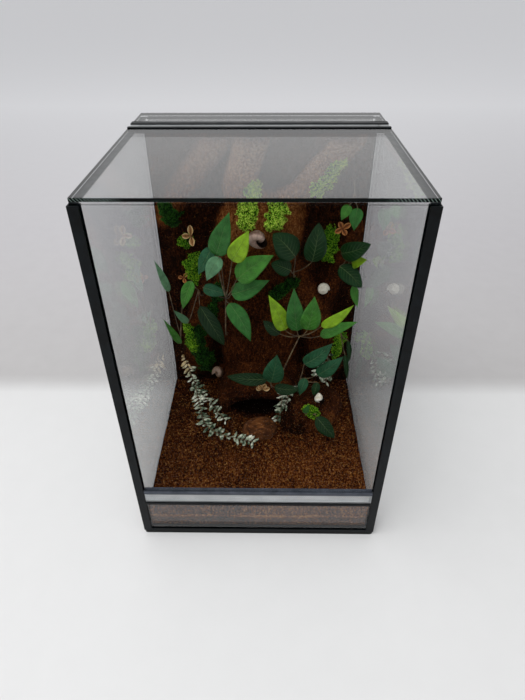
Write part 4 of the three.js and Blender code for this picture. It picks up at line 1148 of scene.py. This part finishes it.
def pod(name, node, angles, length, width, finish, shift=(0, 0, 0)):
    """A dried pod: boat-shaped husks, split apart round a small hairy heart."""
    centre = middle_of(node) + Vector(shift)
    shape = Shape()
    nu = 10
    for k, degrees in enumerate(angles):
        angle = math.radians(degrees)
        reach = length * (1.05, 0.85, 0.95, 0.8)[k]
        out = Vector((math.cos(angle), 0, math.sin(angle)))
        side = Vector((-math.sin(angle), 0, math.cos(angle)))

        def both_sides(i, v):
            t = i / nu
            half = 0.5 * width * (math.sin(math.pi * (0.04 + 0.92 * t)) ** 0.75)
            lift = reach * (0.1 + 0.3 * t * t) + 0.85 * half * v * v + 0.25 * math.sin(9 * t + k)
            p = out * (0.12 * length + reach * t) + side * (half * v) + AHEAD * lift
            return p + AHEAD * 0.35, p - AHEAD * 0.35, (abs(v) * 0.8 + 0.2 * t, v, 0.0)

        sheet(shape, nu, 6, both_sides)

    def heart(ring, a, b):
        r = 0.17 * length * (1 + 0.2 * math.sin(3 * b + ring))
        flat = r * math.sin(a)
        return (flat * math.cos(b), -0.12 * length - r * math.cos(a), flat * math.sin(b))

    points = ball(4, 8, 0.0, heart)
    shape.add(points, hoops(4, 8), 0, [(0.2, 0.0, 0.0)] * len(points))
    obj = shape.made(name, finish, closed=True)
    obj.data.transform(Matrix.Translation(centre * MM) @ Matrix.Rotation(-0.35, 4, "X"))
    settle(obj, "seed_husk", node)


def add_pods():
    tan = husk("tan_husk", "4a2c16", "a87c48", "e2c896")
    orange = husk("orange_husk", "3a1d0e", "9a5a2a", "d69a5c")
    pod("pod_left", "seed_pod_left", (92, 178, 280), 13, 8, tan)
    pod("pod_low_left", "seed_pod_low_left", (50, 170, 290), 8, 5.5, orange)
    pod("pod_centre", "seed_pod_centre", (15, 160, 60, 125), 10, 7.5, tan, (7, -12, -3))
    pod("pod_right", "seed_pod_right", (35, 120, 205, 300), 11, 7.5, orange)


# ------------------------ moss


# Each cushion: the node it stands for, its line over the background, half width, height, tone; the mixed tone
# is bright moss in painted shade.
MOSS = [
    ("moss_left_limb", [(-10, 374), (-9, 356), (-18, 331), (-22, 314)], 11, 7, "bright"),
    ("moss_right_limb", [(31, 346), (21, 331), (12, 314)], 12, 7, "bright"),
    ("moss_upper_right", [(108, 398), (93, 381), (79, 363), (69, 354)], 12, 7, "bright"),
    ("moss_far_left", [(-131, 346), (-126, 325), (-119, 306)], 10, 6, "dark"),
    ("moss_left_column", [(-92, 264), (-102, 240), (-96, 214)], 9, 6, "mixed"),
    ("moss_low_left", [(-119, 148), (-111, 123), (-106, 98)], 9, 6, "mixed"),
    ("moss_right_column", [(97, 305), (101, 287), (97, 265), (91, 252)], 9, 6, "mixed"),
    ("moss_low_right", [(129, 125), (124, 107), (119, 86)], 9, 7, "mixed"),
    (None, [(14, 206), (35, 219), (54, 231)], 8, 5, "dark"),
    (None, [(-108, 292), (-106, 272)], 8, 5, "mixed"),
    (None, [(-97, 146), (-99, 112), (-93, 76), (-86, 46)], 11, 6, "dark"),
    (None, [(-58, 232), (-70, 188), (-84, 150)], 10, 5, "dark"),
]


def moss_cushion(line, half, height, seed, finish):
    """A lumpy cushion that follows the carved face along a line, ragged at its edge."""
    centre = curve_through([(x, 0, z) for x, z in line], 5)
    nu = len(centre) - 1

    def both_sides(i, v):
        at = centre[i]
        along = (centre[min(i + 1, nu)] - centre[max(i - 1, 0)]).normalized()
        taper = math.sqrt(max(1 - abs(2 * i / nu - 1) ** 4, 0.03))
        ragged = 0.85 + 1.2 * noise.noise(Vector((at.x * 0.21, seed + (1 if v > 0 else 0), at.z * 0.21)))
        x = at.x + along.z * half * taper * ragged * v
        z = at.z - along.x * half * taper * ragged * v
        x, z = max(-139.0, min(139.0, x)), min(z, 430.0)
        face = PANEL_BACK - panel_thickness(x, z)
        lumps = 1 + 0.6 * noise.noise(Vector((x * 0.16, seed, z * 0.16)))
        top = face - 0.4 - height * 0.7 * taper * math.sqrt(1 - v * v * 0.96) * lumps
        return (x, top, z), (x, face + 4.0, z), PLAIN

    shape = Shape()
    sheet(shape, nu, 10, both_sides)
    return shape.made("moss_base", finish, closed=True)


# The clump on the right flank of the cave's ledge: its middle and its half sizes.
CLUMP, CLUMP_HALF = (77, 17, 60), (11, 8, 7)


def grow_moss():
    """Preserved moss: curly tufts on lumpy cushions."""
    finishes = {
        "bright": moss_finish("bright_moss", "061203", "66a41b", "e4fb68", 0.05),
        # The mixed tone is the bright moss with darker stops: painted shade.
        "mixed": moss_finish("bright_moss_shaded", "051203", "37750f", "a6d63a", 0.12),
        "dark": moss_finish("dark_moss", "030a02", "10300c", "3f7423", 0.14),
    }
    bit = moss_bit("moss_bit", 5, 4, 3.7)

    def overgrown(name, base, tone, density, seed, smallest, largest, *replaced):
        tufts = scattered("moss_tufts", base, bit, finishes[tone], density, seed, smallest, largest, 0.9)
        core = base.data.copy()
        dropped(base)
        settle(joined(name, core, tufts), "dark_moss" if tone == "dark" else "bright_moss", *replaced)

    for k, (node, line, half, height, tone) in enumerate(MOSS):
        base = moss_cushion(line, half, height, 10.0 * k, finishes[tone])
        name = (node or f"moss_small_{k}").replace("moss_", "moss_tufts_")
        overgrown(name, base, tone, 330000, 40 + k, 0.45, 1.35, *([node] if node else []))

    def lumpy(_, a, b):
        swell = 1 + 0.3 * noise.noise(Vector((3 * a, 2 * math.cos(b), 2 * math.sin(b))))
        return (
            CLUMP[0] + CLUMP_HALF[0] * swell * math.sin(a) * math.cos(b),
            CLUMP[1] + CLUMP_HALF[1] * swell * math.sin(a) * math.sin(b),
            CLUMP[2] + CLUMP_HALF[2] * swell * math.cos(a) - 5 * math.sin(a) * math.cos(b),
        )

    clump = Shape()
    rings, sides = 6, 10
    ends = [tuple(range(sides)), tuple(range(rings * sides, (rings + 1) * sides))]
    clump.add(ball(rings, sides, 0.03, lumpy), ends + hoops(rings, sides))
    base = clump.made("clump", finishes["mixed"], closed=True)
    overgrown("moss_on_the_flare", base, "mixed", 260000, 77, 0.5, 1.3)
    dropped(bit)


# ------------------------ leaves and vines

TINTS = {
    "mid": "336b2e",
    "bright": "417c2d",
    "dark": "0c2e10",
    "deep": "0c280d",
    "teal": "275639",
    "grey": "5f8c66",
    "lime": "84ac20",
}
RIBBED = {"dark": 0.4, "deep": 0.3, "teal": 0.3, "lime": 0.3, "grey": 0.25, "mid": 0.2, "bright": 0.25}

# Each twig: its root, the points to its fork, and its leaves: base, tip, width, droop, tint.
SPRIGS = {
    "leaves_upper_left": ((-52, 116, 136), [(-53, 92, 153), (-50, 89, 215)], [
        ((-59, 80, 287), (-38, 72, 351), 29, 0, "mid"),
        ((-64, 84, 297), (-85, 78, 259), 20, 0.03, "teal"),
        ((-53, 76, 287), (-73, 66, 256), 21, 0.1, "grey"),
        ((-37, 70, 284), (-13, 58, 333), 26, 0, "lime"),
        ((-32, 74, 254), (17, 62, 296), 32, 0.05, "bright"),
        ((-41, 82, 226), (12, 72, 254), 27, 0.05, "mid"),
        ((-45, 80, 213), (-14, 62, 157), 26, 0.05, "mid"),
        ((-82, 92, 231), (-46, 88, 222), 18, 0.1, "teal"),
    ]),
    "leaves_far_left": ((-86, 130, 200), [(-88, 112, 206), (-90, 100, 222)], [
        ((-97, 92, 242), (-114, 84, 198), 18, 0.1, "bright"),
        ((-90, 100, 195), (-56, 88, 130), 26, 0.05, "deep"),
        ((-112, 110, 158), (-129, 96, 189), 11, 0.05, "grey"),
    ]),
    "leaves_upper_centre": ((52, 122, 236), [(48, 108, 240), (47, 100, 252)], [
        ((48, 92, 279), (18, 84, 316), 36, 0.05, "dark"),
        ((43, 96, 256), (16, 90, 270), 24, 0.1, "dark"),
        ((71, 92, 272), (76, 80, 334), 30, 0, "dark"),
    ]),
    "leaves_upper_right": ((126, 134, 262), [(125, 124, 262), (124, 118, 266)], [
        ((112, 106, 278), (140, 62, 312), 26, 0.05, "dark"),
        ((112, 106, 258), (141, 78, 240), 26, 0.05, "dark"),
        ((128, 104, 264), (141, 74, 284), 18, 0.05, "lime"),
        ((134, 102, 230), (141, 88, 201), 12, 0.05, "bright"),
    ]),
    "leaves_top_right": ((124, 136, 368), [(124, 126, 366), (124, 119, 360)], [
        ((118, 112, 345), (108, 104, 327), 14, 0.1, "bright"),
        ((129, 112, 341), (126, 102, 313), 18, 0.1, "mid"),
    ]),
    "leaves_ledge": ((30, 62, 66), [(31, 50, 104), (47, 48, 153), (56, 48, 178)], [
        ((35, 50, 187), (12, 42, 248), 24, 0.02, "lime"),
        ((52, 48, 187), (45, 38, 261), 26, 0.02, "mid"),
        ((66, 46, 190), (72, 34, 251), 28, 0.02, "bright"),
        ((85, 44, 197), (123, 30, 240), 15, 0.05, "lime"),
        ((85, 50, 177), (134, 42, 206), 17, 0.05, "bright"),
        ((28, 56, 176), (5, 50, 202), 17, 0.05, "deep"),
    ]),
    "leaves_ledge_low": ((56, 66, 50), [(60, 54, 76), (60, 48, 100)], [
        ((66, 62, 116), (104, 54, 160), 25, 0.05, "teal"),
        ((86, 58, 98), (121, 50, 139), 23, 0.05, "teal"),
        ((67, 44, 104), (59, 36, 75), 15, 0.05, "teal"),
        ((86, 48, 92), (81, 40, 72), 13, 0.05, "dark"),
    ]),
    "leaves_lip": ((17, 62, 68), [(16, 48, 86), (14, 43, 97)], [
        ((16, 41, 97), (24, 32, 156), 31, 0.02, "teal"),
        ((11, 40, 105), (-49, 34, 114), 20, 0.05, "deep"),
        ((21, 42, 87), (58, 34, 89), 18, 0.05, "deep"),
    ]),
    "leaf_floor_right": ((84, 28, 54), [(83, 15, 60), (82, 10, 63)], [
        ((84, 6, 60), (110, -16, 39), 22, 0, "deep"),
        ((66, 10, 64), (71, 5, 86), 9, 0, "mid"),
    ]),
    "spikes_left": ((-122, 140, 176), [(-122, 116, 170), (-123, 95, 142)], [
        ((-123, 88, 134), (-136, 54, 202), 11, 0, "bright"),
        ((-127, 72, 236), (-135, 48, 296), 11, 0, "grey"),
    ]),
    "blades_right": ((104, 134, 152), [(112, 114, 148), (124, 108, 140)], [
        ((133, 102, 104), (139, 92, 62), 8, 0, "dark"),
        ((136, 108, 128), (140, 102, 88), 8, 0, "dark"),
    ]),
}


def leaf(shape, base, tip, width, droop, tone, seed):
    """A pointed leaf, folded along its rib, curled a little and waved at its edge."""
    pick = random.Random(seed)
    along = tip - base
    reach = along.length
    side = along.cross(Vector((0, -1, 0.55)).normalized()).normalized()
    up = side.cross(along).normalized()
    nu = 16
    fold, bow = pick.uniform(0.1, 0.26), pick.uniform(0.02, 0.07)
    wave, phase, swing = pick.uniform(0.02, 0.06), pick.uniform(0, 6), pick.uniform(-0.05, 0.05)
    round_end, taper = 0.55, 0.85 if tone in ("dark", "deep") else 1.1
    ends = round_end + taper
    widest = (round_end / ends) ** round_end * (taper / ends) ** taper

    def both_sides(i, v):
        t = i / nu
        arch = math.sin(math.pi * t)
        half = max(0.5 * width * (t**round_end) * ((1 - t) ** taper) / widest, 0.12)
        rib = base + along * t + up * (reach * (bow * arch - droop * t * t)) + side * (reach * swing * arch)
        lift = half * (fold * abs(v) ** 1.5 - 0.16 * v * v * t)
        lift += width * wave * math.sin(9 * t + phase + (2 if v > 0 else 0)) * v * v * arch
        p = rib + side * (half * v) + up * lift
        thick = up * (0.34 - 0.24 * abs(v))
        return p + thick, p - thick, (t, v, RIBBED[tone])

    sheet(shape, nu, 8, both_sides, rgb(TINTS[tone]))


def stem(shape, route, thick, thinner, sides):
    """A stalk that loses part of its thickness along the way."""
    count = len(route)
    tube(shape, route, [STEM_RADIUS * (thick - thinner * i / count) for i in range(count)], sides, 1)


def grow_sprigs():
    finishes = leaf_finish(), stalk_finish()
    for k, (node, (root, hub, leaves)) in enumerate(SPRIGS.items()):
        shape = Shape()
        stem(shape, curve_through([root, *hub], 8), 1.15, 0.4, 8)
        fork = Vector(hub[-1])
        for n, (base, tip, width, droop, tone) in enumerate(leaves):
            base, tip = Vector(base), Vector(tip)
            halfway = (base + fork) / 2 - Vector((0, 0, 3))
            stem(shape, curve_through([fork, halfway, base, base + (tip - base) * 0.12], 5), 0.8, 0.35, 6)
            leaf(shape, base, tip, width, droop, tone, 100 * k + n)
        settle(shape.made("sprig_" + node, *finishes, closed=True), "leaf_green", node)


# Each trail: the node it stands for, and the lines its stalks follow.
VINES = {
    "vine_left": [
        [
            (-128, 140, 88), (-124, 122, 74), (-112, 100, 52), (-97, 82, 36), (-80, 62, 33),
            (-66, 42, 32), (-55, 26, 31),
        ],
        [
            (-108, 92, 44), (-98, 58, 33), (-87, 22, 32), (-70, 4, 31), (-50, -6, 31),
            (-30, -13, 32), (-11, -18, 31),
        ],
    ],
    "vine_centre": [
        [(34, 51, 66), (33, 41, 62), (31, 36, 46), (26, 28, 32)],
        [(52, 66, 68), (47, 56, 68), (42, 46, 62), (38, 38, 50), (34, 30, 38)],
    ],
    "vine_right": [
        [(108, 118, 92), (107, 96, 76), (104, 84, 62)],
        [(98, 116, 98), (94, 98, 86), (92, 84, 76)],
    ],
}


def leaflet_pair():
    """Two small plump leaves on either side of a stalk that runs along Z."""
    pair = Shape()
    rings, sides = 4, 6
    for side in (-1, 1):
        points = []
        for i in range(rings + 1):
            t = i / rings
            half = 2.9 * math.sin(math.pi * min(0.08 + 0.9 * t, 0.98)) ** 0.8
            for a in around(sides):
                x = half * 0.3 * math.sin(a) + 2.4 * t * t
                points.append((x, side * (0.4 + 11.4 * t), half * math.cos(a) + 5.0 * t))
        ends = [tuple(range(sides)), tuple(range(rings * sides, (rings + 1) * sides))]
        pair.add(points, hoops(rings, sides) + ends)
    return pair.made("leaflet_pair", closed=True)


def grow_vines():
    """Trailing succulents: pairs of leaflets set along stalks."""
    silver, stalk = silver_finish(), stalk_finish()
    bit = leaflet_pair()
    for k, (node, routes) in enumerate(VINES.items()):
        line = bpy.data.curves.new(node + "_line", "CURVE")
        line.dimensions = "3D"
        stems = Shape()
        for route in routes:
            spline = line.splines.new("POLY")
            points = curve_through(route, 10)
            spline.points.add(len(points) - 1)
            for at, p in zip(spline.points, points):
                at.co = (*(p * MM), 1)
            tube(stems, points, [0.75] * len(points), 6)
        base = linked(node + "_line", line)
        g = Growth(node + "_leaflets", Pitch=0.0058, Smallest=0.62, Largest=1.12, Seed=80 + k, Bit=bit)
        spots = g.node("GeometryNodeCurveToPoints", {
            "Curve": g.size["Geometry"], "Length": g.size["Pitch"],
        }, mode="LENGTH")
        facing_up = g.node("FunctionNodeAlignRotationToVector", {
            0: spots["Rotation"], 2: (0.0, -0.6, 0.8),
        }, axis="X", pivot_axis="Z")[0]
        turned = g.turned(facing_up, (-0.45, -0.45, -0.9), (0.45, 0.45, 0.9), 90 + k)
        leaflets = g.grown(base, g.copies(spots["Points"], turned, g.size["Seed"]), silver)
        dropped(base)
        smooth_faces(leaflets)
        settle(joined("trail_" + node, leaflets, stems.mesh(node + "_stalk", stalk)), "silver_leaf", node)
    dropped(bit)


# ------------------------ the whole

set_camera()
set_stage()
set_light()
dress_cabinet()
grilles()
fibre, skin = loose_fibre("loose_fibre", 1.0), carved_skin()
lay_bed(fibre)
carve_background(skin)
cave_and_bark(skin, fibre)
add_shells()
add_pods()
grow_moss()
grow_sprigs()
grow_vines()
